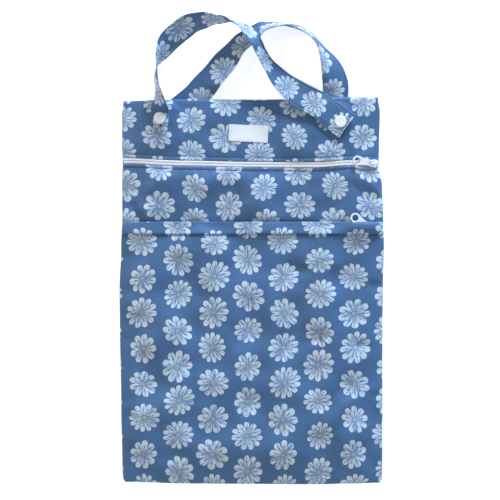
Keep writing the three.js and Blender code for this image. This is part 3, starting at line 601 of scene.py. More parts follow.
def divider_upper(across, y):
    above_back = back_outside(across, y) + 2 * cloth + layer_clearance
    return np.maximum(divider_top(across, y) + np.minimum(drape(across, y), 0), above_back)


divider_mesh = cloth_sheet("divider_cloth", divider_rows, divider_columns, divider_upper,
                           lambda across, y: divider_upper(across, y) - cloth, (0.0, 0.0))
divider_cloth = place_piece("divider_cloth", divider_mesh, inner_cloth)
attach(divider_cloth, "bag")
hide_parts("pocket_divider")

# Each zip is a white nylon coil on woven tape. The coil is two rows of moulded loops that mesh in
# the middle, and the tape is hidden under the folded edges of the front cloth.
coil_width = 5.2
coil_pitch = 1.5
tape_thickness = 0.6
tape_gap = 0.3
tape_inset = 0.7
rib_spacing = 0.8
sides_of_loop = 8
main_slider_x = half_width - 10
pocket_slider_x = half_width - 14.4

# Woven nylon tape: matt, a little greyer than the coil, with fine ribs across its length, each rib painted
# lighter on its crest and darker in its hollow as painted shade.
zip_tape, tree = new_finish("woven_nylon_tape")
cloth_spot = add_node(tree, "ShaderNodeAttribute", attribute_name="print_mm")
rib_split = add_node(tree, "ShaderNodeSeparateXYZ", {0: cloth_spot.outputs["Vector"]})
rib_turns = add_node(tree, "ShaderNodeMath", {0: rib_split.outputs[0], 1: 2 * math.pi / rib_spacing},
                     operation="MULTIPLY")
tape_ribs = add_node(tree, "ShaderNodeMath", {0: rib_turns.outputs[0]}, operation="SINE")
rib_shade = add_node(tree, "ShaderNodeMapRange", {"Value": tape_ribs.outputs[0], "From Min": -1.0})
tape_colour = add_node(tree, "ShaderNodeMix", {0: rib_shade.outputs[0], 6: linear("#c9d0da"),
                       7: linear("#e6eaf0")}, data_type="RGBA")
tape_bump = add_node(tree, "ShaderNodeBump", {"Height": tape_ribs.outputs[0], "Strength": 0.5,
                     "Distance": 0.08 * MM})
show_surface(tree, add_node(tree, "ShaderNodeBsdfPrincipled", {
    "Base Color": tape_colour.outputs[2], "Roughness": 0.75, "IOR": 1.53,
    "Normal": tape_bump.outputs[0]}))

# Nylon wire set into loops: a bright, slightly waxy white that lets a little light in.
speck_scale = 900.0      # specks about 1 mm across, from loop to loop
coil_nylon, tree = new_finish("moulded_nylon_coil")
coil_shade = add_node(tree, "ShaderNodeTexNoise", {"Scale": speck_scale, "Detail": 1.0})
coil_colour = add_node(tree, "ShaderNodeMix", {0: coil_shade.outputs["Fac"], 6: linear("#f6f8fb"),
                       7: linear("#fdfdfe")}, data_type="RGBA")
show_surface(tree, add_node(tree, "ShaderNodeBsdfPrincipled", {
    "Base Color": coil_colour.outputs[2], "Roughness": 0.38, "IOR": 1.53,
    "Subsurface Weight": 0.15, "Subsurface Radius": (1.0, 1.0, 1.0), "Subsurface Scale": 0.4 * MM}))


def tape_top(across, y):
    return front_face(across, y) - cloth - tape_gap


near_tape_end = np.array((0.4, 0.8, 1.4, 2.2))
tape_columns = steps_between(-half_width + tape_inset, half_width - tape_inset, 2.4,
                             (-half_width + tape_inset, near_tape_end),
                             (half_width - tape_inset, -near_tape_end)) / half_width


# Offs, heights, widths and depths shape one loop, from its heel beside the tape to its tip. Past the
# slider the two rows stand apart by the opening.
def loops_of_coil(name, zip_y, slider_x, opening):
    middles = np.arange(-half_width + tape_inset + 0.5, half_width - tape_inset - 0.5, coil_pitch / 2)
    sides = np.where(np.arange(len(middles)) % 2 == 0, 1.0, -1.0)
    offs = np.array((2.6, 2.4, 1.5, 0.7, 0.38, 0.14))
    heights = np.array((-0.30, -0.05, 0.0, -0.03, -0.12, -0.50))
    widths = np.array((0.36, 0.62, 0.68, 0.68, 0.6, 0.25))
    depths = np.array((0.25, 0.46, 0.52, 0.50, 0.40, 0.16))
    turn = np.arange(sides_of_loop) * 2 * math.pi / sides_of_loop
    open_share = smooth((middles - slider_x - 1) / 3)[:, None, None]
    off = (offs[None, :, None] + opening * open_share) * sides[:, None, None]
    spot_x = middles[:, None, None] + widths[None, :, None] * np.cos(turn)[None, None, :]
    spot_y = zip_y + off + np.zeros_like(spot_x)
    across = np.clip(spot_x / half_width, -1, 1)
    x_spot, y_spot = place_on_bag(across, spot_y)
    z_spot = (front_face(across, zip_y + np.zeros_like(spot_x)) + heights[None, :, None]
              + depths[None, :, None] * np.sin(turn)[None, None, :])
    points = np.stack([x_spot, y_spot, z_spot], -1).reshape(-1, 3) * MM
    around = np.arange(sides_of_loop)
    faces = []
    for loop, side in enumerate(sides):
        first = loop * len(offs) * sides_of_loop
        for step in range(len(offs) - 1):
            here = around + first + step * sides_of_loop
            ahead = np.roll(here, -1)
            band = np.stack([here, ahead, ahead + sides_of_loop, here + sides_of_loop], -1)
            faces += (band[:, ::-1] if side > 0 else band).tolist()
        caps = [list(around[::-1] + first), list(around + first + (len(offs) - 1) * sides_of_loop)]
        faces += [[int(v) for v in (cap[::-1] if side > 0 else cap)] for cap in caps]
    mesh = bpy.data.meshes.new(name)
    mesh.from_pydata(points.tolist(), [], faces)
    mesh.shade_smooth()
    mesh.set_sharp_from_angle(angle=math.radians(60))
    return mesh


for zip_name, zip_y, slider_x, opening in (("main_zip", main_zip_y, main_slider_x, 1.0),
                                           ("pocket_zip", pocket_zip_y, pocket_slider_x, 1.6)):
    tape_rows = steps_between(zip_y - tape_half, zip_y + tape_half, 2.0)
    tape_mesh = cloth_sheet(zip_name + "_tape", tape_rows, tape_columns, tape_top,
                            lambda across, y: tape_top(across, y) - tape_thickness, (0.0, 0.0))
    tape = place_piece(zip_name + "_tape", tape_mesh, zip_tape)
    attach(tape, "bag")
    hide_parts(zip_name + "_chain")
    coil = place_piece(zip_name + "_coil", loops_of_coil(zip_name + "_coil", zip_y, slider_x, opening),
                       coil_nylon)
    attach(coil, "bag")

# Each slider is a die-cast body in white lacquer: two shield-shaped plates joined by a post, and
# a bridge on top. A flat finger ring with a slot hangs on the bridge and swings on it.
slider_length = 10.4
slider_width = 8.6
upper_plate = 1.2
lower_plate = 0.8
plate_top = slider_clearance + upper_plate
post_height = 4.6
rim_height = 1.1
bridge_width = 1.5
bridge_room = 2.55
pull_thickness = 1.3
hinge_height = plate_top + bridge_room / 2
ring_reach = 17.4
ring_radius = 5.1
ring_hole_radius = 3.3

# Die-cast zinc under baked white lacquer: smooth and bright, with a soft shine along each edge.
lacquer_scale = 350.0    # the lacquer gathers in waves about 3 mm across
white_lacquer, tree = new_finish("white_lacquered_zinc")
lacquer_flow = add_node(tree, "ShaderNodeTexNoise", {"Scale": lacquer_scale, "Detail": 2.0})
lacquer_colour = add_node(tree, "ShaderNodeMix", {0: lacquer_flow.outputs["Fac"], 6: linear("#e2e6ec"),
                          7: linear("#eff2f6")}, data_type="RGBA")
lacquer_bump = add_node(tree, "ShaderNodeBump", {"Height": lacquer_flow.outputs["Fac"], "Strength": 0.2,
                        "Distance": 0.05 * MM})
show_surface(tree, add_node(tree, "ShaderNodeBsdfPrincipled", {
    "Base Color": lacquer_colour.outputs[2], "Roughness": 0.3, "IOR": 1.5, "Coat Weight": 0.3,
    "Coat Roughness": 0.12, "Normal": lacquer_bump.outputs[0]}))


def arc(middle_x, radius, start, stop, count):
    turns = np.radians(np.linspace(start, stop, count))
    return [(middle_x + radius * math.cos(t), radius * math.sin(t)) for t in turns]


# A flat casting with rounded edges. The outlines after the first are its holes.
def cast_plate(outlines, thickness, rounding):
    outline_curve = bpy.data.curves.new("casting_outline", "CURVE")
    outline_curve.dimensions = "2D"
    outline_curve.fill_mode = "BOTH"
    outline_curve.extrude = thickness / 2 - rounding
    outline_curve.bevel_depth = rounding
    outline_curve.bevel_resolution = 2
    outline_curve.offset = -rounding
    for outline in outlines:
        spline = outline_curve.splines.new("POLY")
        spline.points.add(len(outline) - 1)
        for point, (x, y) in zip(spline.points, outline):
            point.co = (x, y, 0, 1)
        spline.use_cyclic_u = True
    holder = bpy.data.objects.new("casting_outline", outline_curve)
    mesh = bpy.data.meshes.new_from_object(holder)
    bpy.data.objects.remove(holder)
    bpy.data.curves.remove(outline_curve)
    return mesh


def joined(name, parts, frame_of_piece):
    whole = bmesh.new()
    for part, place in parts:
        part.transform(frame_of_piece @ place)
        part.transform(Matrix.Scale(MM, 4))
        whole.from_mesh(part)
    bmesh.ops.remove_doubles(whole, verts=whole.verts, dist=1e-6)
    mesh = bpy.data.meshes.new(name)
    whole.to_mesh(mesh)
    whole.free()
    mesh.shade_smooth()
    mesh.set_sharp_from_angle(angle=math.radians(38))
    return mesh


def slider_frame(zip_y, x, yaw):
    ends = []
    for at in (x - slider_length / 2, x + slider_length / 2):
        across = across_at(np.array(at), zip_y)
        ends.append(Vector((at, float(place_on_bag(across, np.array(zip_y))[1]),
                            float(solid_front(across, np.array(zip_y))) + coil_proud)))
    along = (ends[1] - ends[0]).normalized()
    sideways = Vector((0, 0, 1)).cross(along).normalized()
    outward = along.cross(sideways)
    frame_of_slider = Matrix((along, sideways, outward)).transposed().to_4x4()
    frame_of_slider.translation = (ends[0] + ends[1]) / 2
    return frame_of_slider @ Matrix.Rotation(math.radians(yaw), 4, "Z")


def rounded_box(x_from, x_to, y_from, y_to, corner):
    spots = []
    for corner_x, corner_y, start in ((x_to - corner, y_to - corner, 0), (x_from + corner, y_to - corner, 90),
                                      (x_from + corner, y_from + corner, 180),
                                      (x_to - corner, y_from + corner, 270)):
        for turn in np.radians(np.linspace(start, start + 90, 5)):
            spots.append((corner_x + corner * math.cos(turn), corner_y + corner * math.sin(turn)))
    return spots


def shield_outline():
    stops = np.linspace(-0.5, 0.5, 19)
    out = np.interp(stops, (-0.5, -0.44, -0.3, 0.0, 0.26, 0.42, 0.5),
                    (0.27, 0.36, 0.425, 0.465, 0.495, 0.44, 0.34))
    near = [(s * slider_length, -o * slider_width) for s, o in zip(stops, out)]
    return near + [(x, -y) for x, y in reversed(near)]


upright = Matrix.Rotation(math.pi / 2, 4, "X")
pull_side = [(0.9, 2.2), (0.75, 2.7), (0.3, 2.95), (-0.4, 3.0), (-4.2, 2.95), (-7.5, 3.05), (-10.5, 3.5),
             (-13.2, 4.25), (-15.2, 4.82)]
pull_outline = ([(0.9, -2.2)] + pull_side + arc(-ring_reach, ring_radius, 90, 270, 25)
                + [(x, -y) for x, y in pull_side[:0:-1]])
ring_hole = arc(-ring_reach, ring_hole_radius, 360, 15, 24)
pull_slot = rounded_box(-5.4, -0.65, -1.8, 1.8, 0.8)[::-1]
for zip_name, zip_y, slider_x, yaw, skew, pull_body in (
        ("main_zip", main_zip_y, main_slider_x, 0, 8, "main_zip_pull"),
        ("pocket_zip", pocket_zip_y, pocket_slider_x, -17, 14.5, "bag")):
    slider_place = slider_frame(zip_y, slider_x, yaw)
    plates = [
        (cast_plate([shield_outline()], upper_plate, 0.4),
         Matrix.Translation((0, 0, plate_top - upper_plate / 2))),
        (cast_plate([shield_outline()], lower_plate, 0.25),
         Matrix.Translation((0, 0, lower_plate / 2 - slider_below))),
        (cast_plate([rounded_box(3.4, 5.0, -0.7, 0.7, 0.3)], post_height, 0.1),
         Matrix.Translation((0, 0, -1.6))),
        (cast_plate([rounded_box(-4.1, 4.1, slider_clearance, plate_top + bridge_room + 1, 1.0),
                     rounded_box(-3.1, 3.1, plate_top, plate_top + bridge_room, 0.5)[::-1]],
                    bridge_width, 0.35),
         upright),
    ]
    for side in (-1, 1):
        rim_from, rim_to = sorted((side * 3.15, side * 3.75))
        plates.append((cast_plate([rounded_box(-3.7, 2.6, rim_from, rim_to, 0.25)], rim_height, 0.1),
                       Matrix.Translation((0, 0, 0.42))))
    slider = place_piece(zip_name + "_slider_body", joined(zip_name + "_slider_body", plates, slider_place),
                         white_lacquer)
    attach(slider, "bag")
    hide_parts(zip_name + "_slider")
    pull_place = (slider_place @ Matrix.Translation((0, 0, hinge_height))
                  @ Matrix.Rotation(math.radians(-skew), 4, "Z")
                  @ Matrix.Rotation(math.radians(-3), 4, "Y"))
    ring = place_piece(zip_name + "_finger_ring", joined(zip_name + "_finger_ring", [
        (cast_plate([pull_outline, ring_hole, pull_slot], pull_thickness, 0.42), Matrix.Identity(4))],
        pull_place), white_lacquer)
    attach(ring, pull_body)
    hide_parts(zip_name + "_pull")

# The upper front cloth runs from the top seam to the main zip. Its lower edge is folded under and
# stitched 6.5 mm from the middle of the zip, which gives it a raised, rounded lip.
panel_edge = coil_width / 2 + 0.4
fold_rise = 0.5
lip_steps = (panel_edge, 3.1, 3.3, 3.6, 4.1, 5.0, 5.8, 6.2, 6.5, 6.8, 7.3, 8.2, 9.5)


def zip_lip(y):
    off = np.abs(y - main_zip_y)
    folded = smooth((zip_stitch + 0.5 - off) / 1.0)
    rounding = 1 - quarter_round((off - panel_edge) / 1.0)
    stitched = np.exp(-((off - zip_stitch) / 0.7) ** 2)
    return fold_rise * folded - 0.75 * rounding - 0.45 * stitched


# Painted highlight: the folded lip beside the coil is painted paler towards its edge.
def lip_highlight(y):
    return 0.32 * np.exp(-(np.abs(y - main_zip_y) - panel_edge) / 0.7)


# Painted highlight: the cloth is painted paler where it rolls into a seam.
def seam_highlight(across, y):
    return 0.22 * np.exp(-seam_distance(across, y) / 0.8)


def lipped_face(across, y):
    return front_face(across, y) + zip_lip(y) * rolled(across, y)


upper_rows = steps_between(main_zip_y + panel_edge, top_y, 2.2, (main_zip_y, lip_steps), (top_y, -near_seam))
upper_mesh = cloth_sheet("upper_front_cloth", upper_rows, full_columns, lipped_face, front_inside,
                         (8.0, 96.0), lambda across, y: lip_highlight(y) + seam_highlight(across, y))
upper_front_cloth = place_piece("upper_front_cloth", upper_mesh, printed_cloth)
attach(upper_front_cloth, "bag")
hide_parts("upper_front_panel")

# The middle front cloth lies between the two zips, folded and stitched along the main zip like the
# upper one. Its lower edge is sewn to the tape of the pocket zip, out of sight beneath the hem.
middle_rows = steps_between(pocket_zip_y + panel_edge, main_zip_y - panel_edge, 2.2,
                            (main_zip_y, -np.array(lip_steps)),
                            (hem_end, (-1.5, -0.7, 0, 0.3, 0.8, 1.5, 2.6)))
middle_mesh = cloth_sheet("middle_front_cloth", middle_rows, full_columns, lipped_face, front_inside,
                          (151.0, 203.0), lambda across, y: lip_highlight(y) + seam_highlight(across, y))
middle_front_cloth = place_piece("middle_front_cloth", middle_mesh, printed_cloth)
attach(middle_front_cloth, "bag")
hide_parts("middle_front_panel")

# The pocket's front cloth ends in a doubled hem that is stitched along its foot and hides the
# pocket zip. The hem swells where the slider and its pull lie beneath it.
hem_rise = 2.3
hem_bulge = 4.7
bulge_half, bulge_fade = 7.4, 8
bulge_half_inward, bulge_fade_inward = 13.6, 14
hem_stops = [0, 0.14, 0.45, 0.75, 1]
hem_rises = [0, 0.85, 1, 0.9, 0.6]
hem_bulges = [0, 0.4, 1, 1, 0.85]


def hem_lift(across, y):
    past = (y - hem_start) / hem_depth
    from_slider = place_on_bag(across, y)[0] - pocket_slider_x
    outward = 1 - smooth((from_slider - bulge_half) / bulge_fade)
    over_slider = outward * (1 - smooth((-from_slider - bulge_half_inward) / bulge_fade_inward))
    lift = (hem_rise * read_table(hem_stops, hem_rises, past)
            + hem_bulge * over_slider * read_table(hem_stops, hem_bulges, past)
            + gap_at_hem(y) * swell(across, y) * (1 - over_slider))
    return np.where(past > 0, lift, 0)


def hem_face(across, y):
    doubled = 0.55 * smooth((y - hem_start) / 1.4)
    free_edge = 1 - quarter_round((hem_end - y) / 1.1)
    stitched = np.exp(-((y - hem_start) / 0.75) ** 2)
    waves = 0.25 * np.sin(across * half_width / 9.0 + 1.3) * smooth((y - hem_start) / 6)
    below = np.exp(-np.maximum(hem_start - y, 0) / 6) * (y < hem_start + 0.8)
    return (front_face(across, y) + (hem_lift(across, y) + doubled - 0.9 * free_edge + waves
            - 0.5 * stitched - 0.35 * below) * rolled(across, y))


def hem_inside(across, y):
    doubled = 0.5 * smooth((y - hem_start) / 1.4)
    return front_inside(across, y) + (hem_lift(across, y) - 0.1 * doubled
                                      - 0.35 * np.exp(-np.abs(hem_start - y) / 6)) * rolled(across, y)


pocket_rows = steps_between(-top_y, hem_end, 2.4, (-top_y, near_seam),
                            (hem_start, (-4, -2.2, -1.4, -0.8, -0.4, 0, 0.4, 0.8, 1.4, 2.2, 3.2, 4.5)),
                            (hem_end, (-2.2, -1.1, -0.8, -0.5, -0.3, -0.15)))
# The hem's free edge and the seam rolls get a painted highlight, a paler rim.
pocket_mesh = cloth_sheet("pocket_front_cloth", pocket_rows, full_columns, hem_face, hem_inside,
                          (277.0, 41.0), lambda across, y: 0.15 * np.exp(-(hem_end - y) / 0.8)
                          + seam_highlight(across, y))
pocket_front_cloth = place_piece("pocket_front_cloth", pocket_mesh, printed_cloth)
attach(pocket_front_cloth, "bag")
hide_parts("pocket_front_panel")

# Navy polyester thread holds the folded edges down: a row on either side of the main zip, and one
# along the foot of the hem. The real thread is 0.3 mm thick, and is drawn at 0.5 so that it shows.
stitch_length = 2.5
stitch_pitch = 3.2
thread_half = 0.25
sides_of_thread = 6
ply_scale = 900.0        # a band each 0.35 mm


# Twisted polyester thread with a low shine: its plies are painted as light and dark bands, a painted
# highlight and shade along the twist.
def polyester_thread(name, dark, light, roughness):
    thread, tree = new_finish(name)
    ply_spot = add_node(tree, "ShaderNodeTexCoord")
    ply_shade_bands = add_node(tree, "ShaderNodeTexWave", {"Vector": ply_spot.outputs["Object"],
                         "Scale": ply_scale})
    thread_colour = add_node(tree, "ShaderNodeMix", {0: ply_shade_bands.outputs["Fac"], 6: linear(dark),
                             7: linear(light)}, data_type="RGBA")
    show_surface(tree, add_node(tree, "ShaderNodeBsdfPrincipled", {
        "Base Color": thread_colour.outputs[2], "Roughness": roughness, "IOR": 1.5}))
    return thread


navy_thread = polyester_thread("navy_polyester_thread", "#263f66", "#3d5e8e", 0.4)


# One row of stitches along a path: each stitch is a short swell of thread that dips in at both ends.
def stitch_row(path, outward, bend=0.32):
    path, outward = np.asarray(path, float), np.asarray(outward, float)
    run = np.concatenate([[0], np.cumsum(np.linalg.norm(np.diff(path, axis=0), axis=1))])
    shares = np.array((-0.5, -0.4, -0.15, 0.15, 0.4, 0.5))
    fullness = np.array((0.35, 0.85, 1.0, 1.0, 0.85, 0.35))
    turn = np.arange(sides_of_thread) * 2 * math.pi / sides_of_thread
    points, faces = [], []
    for middle in np.arange(stitch_pitch / 2, run[-1] - stitch_pitch / 2, stitch_pitch):
        at = middle + shares * stitch_length
        centres = np.stack([np.interp(at, run, path[:, k]) for k in range(3)], -1)
        up = np.stack([np.interp(at, run, outward[:, k]) for k in range(3)], -1)
        up /= np.linalg.norm(up, axis=1, keepdims=True)
        ahead = np.gradient(centres, axis=0)
        ahead /= np.linalg.norm(ahead, axis=1, keepdims=True)
        side = np.cross(ahead, up)
        centres = centres + up * (thread_half * 0.6 - bend * (np.abs(shares) / 0.5) ** 4)[:, None]
        ring = (side[:, None, :] * np.cos(turn)[None, :, None] + up[:, None, :] * np.sin(turn)[None, :, None])
        start = len(points) * len(shares) * sides_of_thread
        points.append((centres[:, None, :] + ring * (thread_half * fullness)[:, None, None]).reshape(-1, 3))
        for step in range(len(shares) - 1):
            for k in range(sides_of_thread):
                here = start + step * sides_of_thread + k
                beside = start + step * sides_of_thread + (k + 1) % sides_of_thread
                faces.append([here, here + sides_of_thread, beside + sides_of_thread, beside])
        last = start + (len(shares) - 1) * sides_of_thread
        faces.append([start + k for k in range(sides_of_thread)])
        faces.append([last + k for k in reversed(range(sides_of_thread))])
    return np.concatenate(points), faces


def stitching_mesh(name, rows):
    points, faces, start = [], [], 0
    for path, outward in rows:
        row_points, row_faces = stitch_row(path, outward)
        points.append(row_points * MM)
        faces += [[v + start for v in face] for face in row_faces]
        start += len(row_points)
    mesh = bpy.data.meshes.new(name)
    mesh.from_pydata(np.concatenate(points).tolist(), [], faces)
    mesh.shade_smooth()
    return mesh


def row_on_face(face, y, inset=2.0):
    across = np.linspace(-1 + inset / half_width, 1 - inset / half_width, 240)
    y_line = np.full_like(across, y)
    x_spot, y_spot = place_on_bag(across, y_line)
    path = np.stack([x_spot, y_spot, face(across, y_line)], -1)
    return path, np.tile((0.0, 0.0, 1.0), (len(across), 1))


body_rows = [row_on_face(lipped_face, main_zip_y + zip_stitch),
             row_on_face(lipped_face, main_zip_y - zip_stitch),
             row_on_face(hem_face, hem_start)]
body_stitching = place_piece("body_stitching", stitching_mesh("body_stitching", body_rows), navy_thread)
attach(body_stitching, "bag")

# Each strap is a band of the printed cloth, folded in on itself and edge-stitched, 29 mm wide.
# The front one is snapped to the front of the bag, and the back one to its back. Both twist.
strap_thickness = 1.8
cap_height = 1.4
socket_height = 2.2
socket_radius = 5.0
snap_gap = 0.35

# Across is a share of half the bag width, up a share of the rise above the top seam, lift a share
# of the strap width or what holds the strap there, then the lean in degrees and the width share.
front_strap_stations = [
    (-0.701, -0.324, "left", -12, 0.62), (-0.695, -0.243, "left", -12, 0.62),
    (-0.696, -0.162, "left", -13, 0.64), (-0.701, -0.052, 0.665, -55, 0.78),
    (-0.715, 0.107, 0.62, -78, 0.95), (-0.725, 0.23, 0.585, -82, 1), (-0.722, 0.354, 0.55, -86, 1),
    (-0.694, 0.48, 0.53, -108, 1), (-0.632, 0.645, 0.44, -134, 1), (-0.523, 0.8, 0.44, -135, 1),
    (-0.427, 0.878, 0.48, -126, 1), (-0.315, 0.906, 0.52, -112, 1), (-0.205, 0.904, 0.535, -97, 1),
    (-0.123, 0.877, 0.57, -80, 0.95), (-0.039, 0.793, 0.68, -62, 0.78), (0.031, 0.648, 0.87, -54, 0.64),
    (0.074, 0.518, 0.72, -60, 0.72), (0.126, 0.378, 0.54, -60, 0.88), (0.217, 0.216, 0.44, -40, 0.95),
    (0.35, 0.05, 0.44, -18, 0.97), (0.517, -0.09, 0.517, -8, 0.96), (0.634, -0.233, "right", 0, 1),
    (0.676, -0.284, "right", 0, 1), (0.726, -0.339, "right", 0, 1),
]
back_strap_stations = [
    (-0.704, -0.317, "floor", 0, 0.95), (-0.6625, -0.266, "floor", 0, 0.95),
    (-0.621, -0.215, "floor", 0, 0.95), (-0.448, -0.001, 0.066, 0, 0.94), (-0.38, 0.108, 0.105, -4, 0.95),
    (-0.307, 0.23, 0.262, -25, 1), (-0.203, 0.419, 0.295, -29, 1), (-0.124, 0.573, 0.29, -34, 0.87),
    (-0.044, 0.69, 0.283, -38, 0.78), (0.041, 0.778, 0.286, -45, 0.7), (0.1, 0.82, 0.414, -62, 0.86),
    (0.193, 0.849, 0.51, -77, 1), (0.322, 0.83, 0.515, -79, 1), (0.427, 0.762, 0.515, -79, 1),
    (0.502, 0.645, 0.515, -78, 1), (0.55, 0.508, 0.476, -62, 1), (0.612, 0.318, 0.324, -34, 1),
    (0.641, 0.159, 0.186, -16, 0.97), (0.643, 0.012, 0.076, -3, 0.93), (0.655, -0.179, "floor", 0, 0.95),
    (0.6625, -0.26, "floor", 0, 0.95), (0.67, -0.341, "floor", 0, 0.95),
]


def seat_height(stations, hold):
    if hold == "floor":
        return cap_height + snap_gap + strap_thickness / 2
    snap = stations[1] if hold == "left" else stations[-2]
    across, y = np.array(snap[0]), np.array(top_y + snap[1] * handle_rise)
    tilt = socket_radius * math.sin(math.radians(abs(snap[3])))
    return float(solid_front(across, y)) + strap_thickness / 2 + 2 * snap_gap + socket_height + tilt


# A smooth path through the knots.
def through(knots, shares):
    knots = np.asarray(knots, float)
    padded = np.concatenate([[2 * knots[0] - knots[1]], knots, [2 * knots[-1] - knots[-2]]])
    along = np.clip(shares, 0, 1) * (len(knots) - 1)
    span = np.minimum(along.astype(int), len(knots) - 2)
    t = (along - span)[:, None]
    before, start, stop, after = (padded[span + k] for k in range(4))
    leave, arrive = (stop - before) / 2, (after - start) / 2
    return ((2 * t ** 3 - 3 * t ** 2 + 1) * start + (t ** 3 - 2 * t ** 2 + t) * leave
            + (3 * t ** 2 - 2 * t ** 3) * stop + (t ** 3 - t ** 2) * arrive)


def strap_run(stations, shares):
    middles = [(across * half_width, top_y + up * handle_rise,
                lift * strap_width if not isinstance(lift, str) else seat_height(stations, lift))
               for across, up, lift, _, _ in stations]
    centre = through(middles, shares)
    ahead = through(middles, shares + 1e-4) - through(middles, shares - 1e-4)
    ahead /= np.linalg.norm(ahead, axis=1, keepdims=True)
    turning = through([(lean, width) for _, _, _, lean, width in stations], shares)
    lean = np.radians(turning[:, :1])
    left = np.stack([-ahead[:, 1], ahead[:, 0], np.zeros(len(ahead))], -1)
    left /= np.linalg.norm(left, axis=1, keepdims=True)
    wide = left * np.cos(lean) + np.array((0.0, 0.0, 1.0)) * np.sin(lean)
    wide -= ahead * np.sum(wide * ahead, axis=1, keepdims=True)
    wide /= np.linalg.norm(wide, axis=1, keepdims=True)
    outward = np.cross(ahead, wide)
    return centre, ahead, wide, outward, turning[:, 1] * strap_width / 2


def strap_sections(stations, shares, seed):
    centre, ahead, wide, outward, half = strap_run(stations, shares)
    run = np.concatenate([[0], np.cumsum(np.linalg.norm(np.diff(centre, axis=0), axis=1))])
    squeeze = np.clip(1 - half / (strap_width / 2), 0, 1)
    slack = smooth(np.minimum(run, run[-1] - run) / 60 - 0.6)
    wobble = np.sin(run / 11 + seed) + 0.6 * np.sin(run / 6.1 + 2.4 * seed)
    return centre, wide, outward, half, run, squeeze, slack, wobble


def strap_offset(side, squeeze, slack, wobble, run, face):
    edge = np.abs(side)
    puff = 0.62 + 0.38 * smooth((0.98 - edge) / 0.25)
    stitched = 0.42 * np.exp(-((edge - 0.84) / 0.045) ** 2)
    folded_end = 0.30 * smooth((7 - np.minimum(run, run[-1] - run)) / 1.2)
    crinkle = 0.5 * np.sin(run / 4.6 + 2.2 * side + 3 * np.sin(run / 23))
    camber = slack * (0.9 * (side ** 2 - 0.35) + 0.4 * wobble * side + crinkle)
    pleat = 2.6 * squeeze * np.cos(side * math.pi * 1.5 + 0.4) * slack
    return camber + pleat + face * (strap_thickness / 2 * puff - stitched + folded_end)


def strap_mesh(name, stations, seed, print_shift):
    shares = np.linspace(0, 1, 300)
    centre, wide, outward, half, run, squeeze, slack, wobble = strap_sections(stations, shares, seed)
    sides = np.array((-1, -0.985, -0.95, -0.89, -0.84, -0.79, -0.7, -0.55, -0.35, -0.12,
                      0.12, 0.35, 0.55, 0.7, 0.79, 0.84, 0.89, 0.95, 0.985, 1))
    layers = []
    for face in (1.0, -1.0):
        columns = []
        for side in sides:
            tuck = 0.35 if abs(side) == 1 else (0.8 if abs(side) == 0.985 else 1.0)
            offset = strap_offset(side, squeeze, slack, wobble, run, face * tuck)
            columns.append(centre + wide * (side * half)[:, None] + outward * offset[:, None])
        layers.append(np.stack(columns, 1))
    along, beside = np.meshgrid(run, sides * strap_width / 2, indexing="ij")
    print_mm = np.stack([beside + print_shift[0], along + print_shift[1], np.zeros_like(along)], -1)
    # Painted highlight: both folded edges of the strap are painted paler.
    rim_highlight = 0.30 * np.exp(-(1 - np.abs(sides)) / 0.035)[None, :] + np.zeros_like(along)
    mesh = cloth_mesh(name, layers[0], layers[1], print_mm, rim_highlight)
    return mesh, run[-1]


def strap_stitch_rows(stations, seed):
    shares = np.linspace(0, 1, 500)
    centre, wide, outward, half, run, squeeze, slack, wobble = strap_sections(stations, shares, seed)
    rows = []
    for side in (-0.84, 0.84):
        for face in (1.0, -1.0):
            offset = strap_offset(side, squeeze, slack, wobble, run, face)
            path = centre + wide * (side * half)[:, None] + outward * offset[:, None]
            rows.append((path[8:-8], (outward * face)[8:-8]))
    for at in (6, 13, 486, 493):        # a doubled row across each end
        beside = np.linspace(-0.78, 0.78, 30)
        for face in (1.0, -1.0):
            offset = np.array([strap_offset(s, squeeze[at], slack[at], wobble[at], run, face)[at]
                               for s in beside])
            path = centre[at] + wide[at] * (beside * half[at])[:, None] + outward[at] * offset[:, None]
            rows.append((path, np.tile(outward[at] * face, (30, 1))))
    return rows


strap_table = [
    ("front_strap", "front_handle", front_strap_stations, 0.7, (94.0, 19.0), ["upper_front_cloth"]),
    ("back_strap", "back_handle", back_strap_stations, 2.1, (207.0, 133.0), ["table_top", "back_cloth"]),
]
for strap_name, handle_node, stations, seed, print_shift, rests in strap_table:
    mesh, strap_length = strap_mesh(strap_name, stations, seed, print_shift)
    strap = place_piece(strap_name, mesh, printed_cloth)
    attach(strap, "bag")
    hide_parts(handle_node)
    stitching = place_piece(strap_name + "_stitching",
                            stitching_mesh(strap_name + "_stitching", strap_stitch_rows(stations, seed)),
                            navy_thread)
    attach(stitching, "bag")

# Each snap is moulded white acetal resin: a smooth shallow cap on one face of the strap, and a
# ringed socket with a stud between the strap and the bag.
cap_radius = 6.2

# Injection-moulded acetal: a clean, faintly blue white with a small, sharp shine.
flow_scale = 260.0       # flow marks about 4 mm across
acetal, tree = new_finish("moulded_acetal")
flow_marks = add_node(tree, "ShaderNodeTexNoise", {"Scale": flow_scale, "Detail": 2.0})
acetal_colour = add_node(tree, "ShaderNodeMix", {0: flow_marks.outputs["Fac"], 6: linear("#e6ecf4"),
                         7: linear("#f3f7fb")}, data_type="RGBA")
acetal_bump = add_node(tree, "ShaderNodeBump", {"Height": flow_marks.outputs["Fac"], "Strength": 0.15,
                       "Distance": 0.05 * MM})
show_surface(tree, add_node(tree, "ShaderNodeBsdfPrincipled", {
    "Base Color": acetal_colour.outputs[2], "Roughness": 0.24, "IOR": 1.48,
    "Normal": acetal_bump.outputs[0]}))

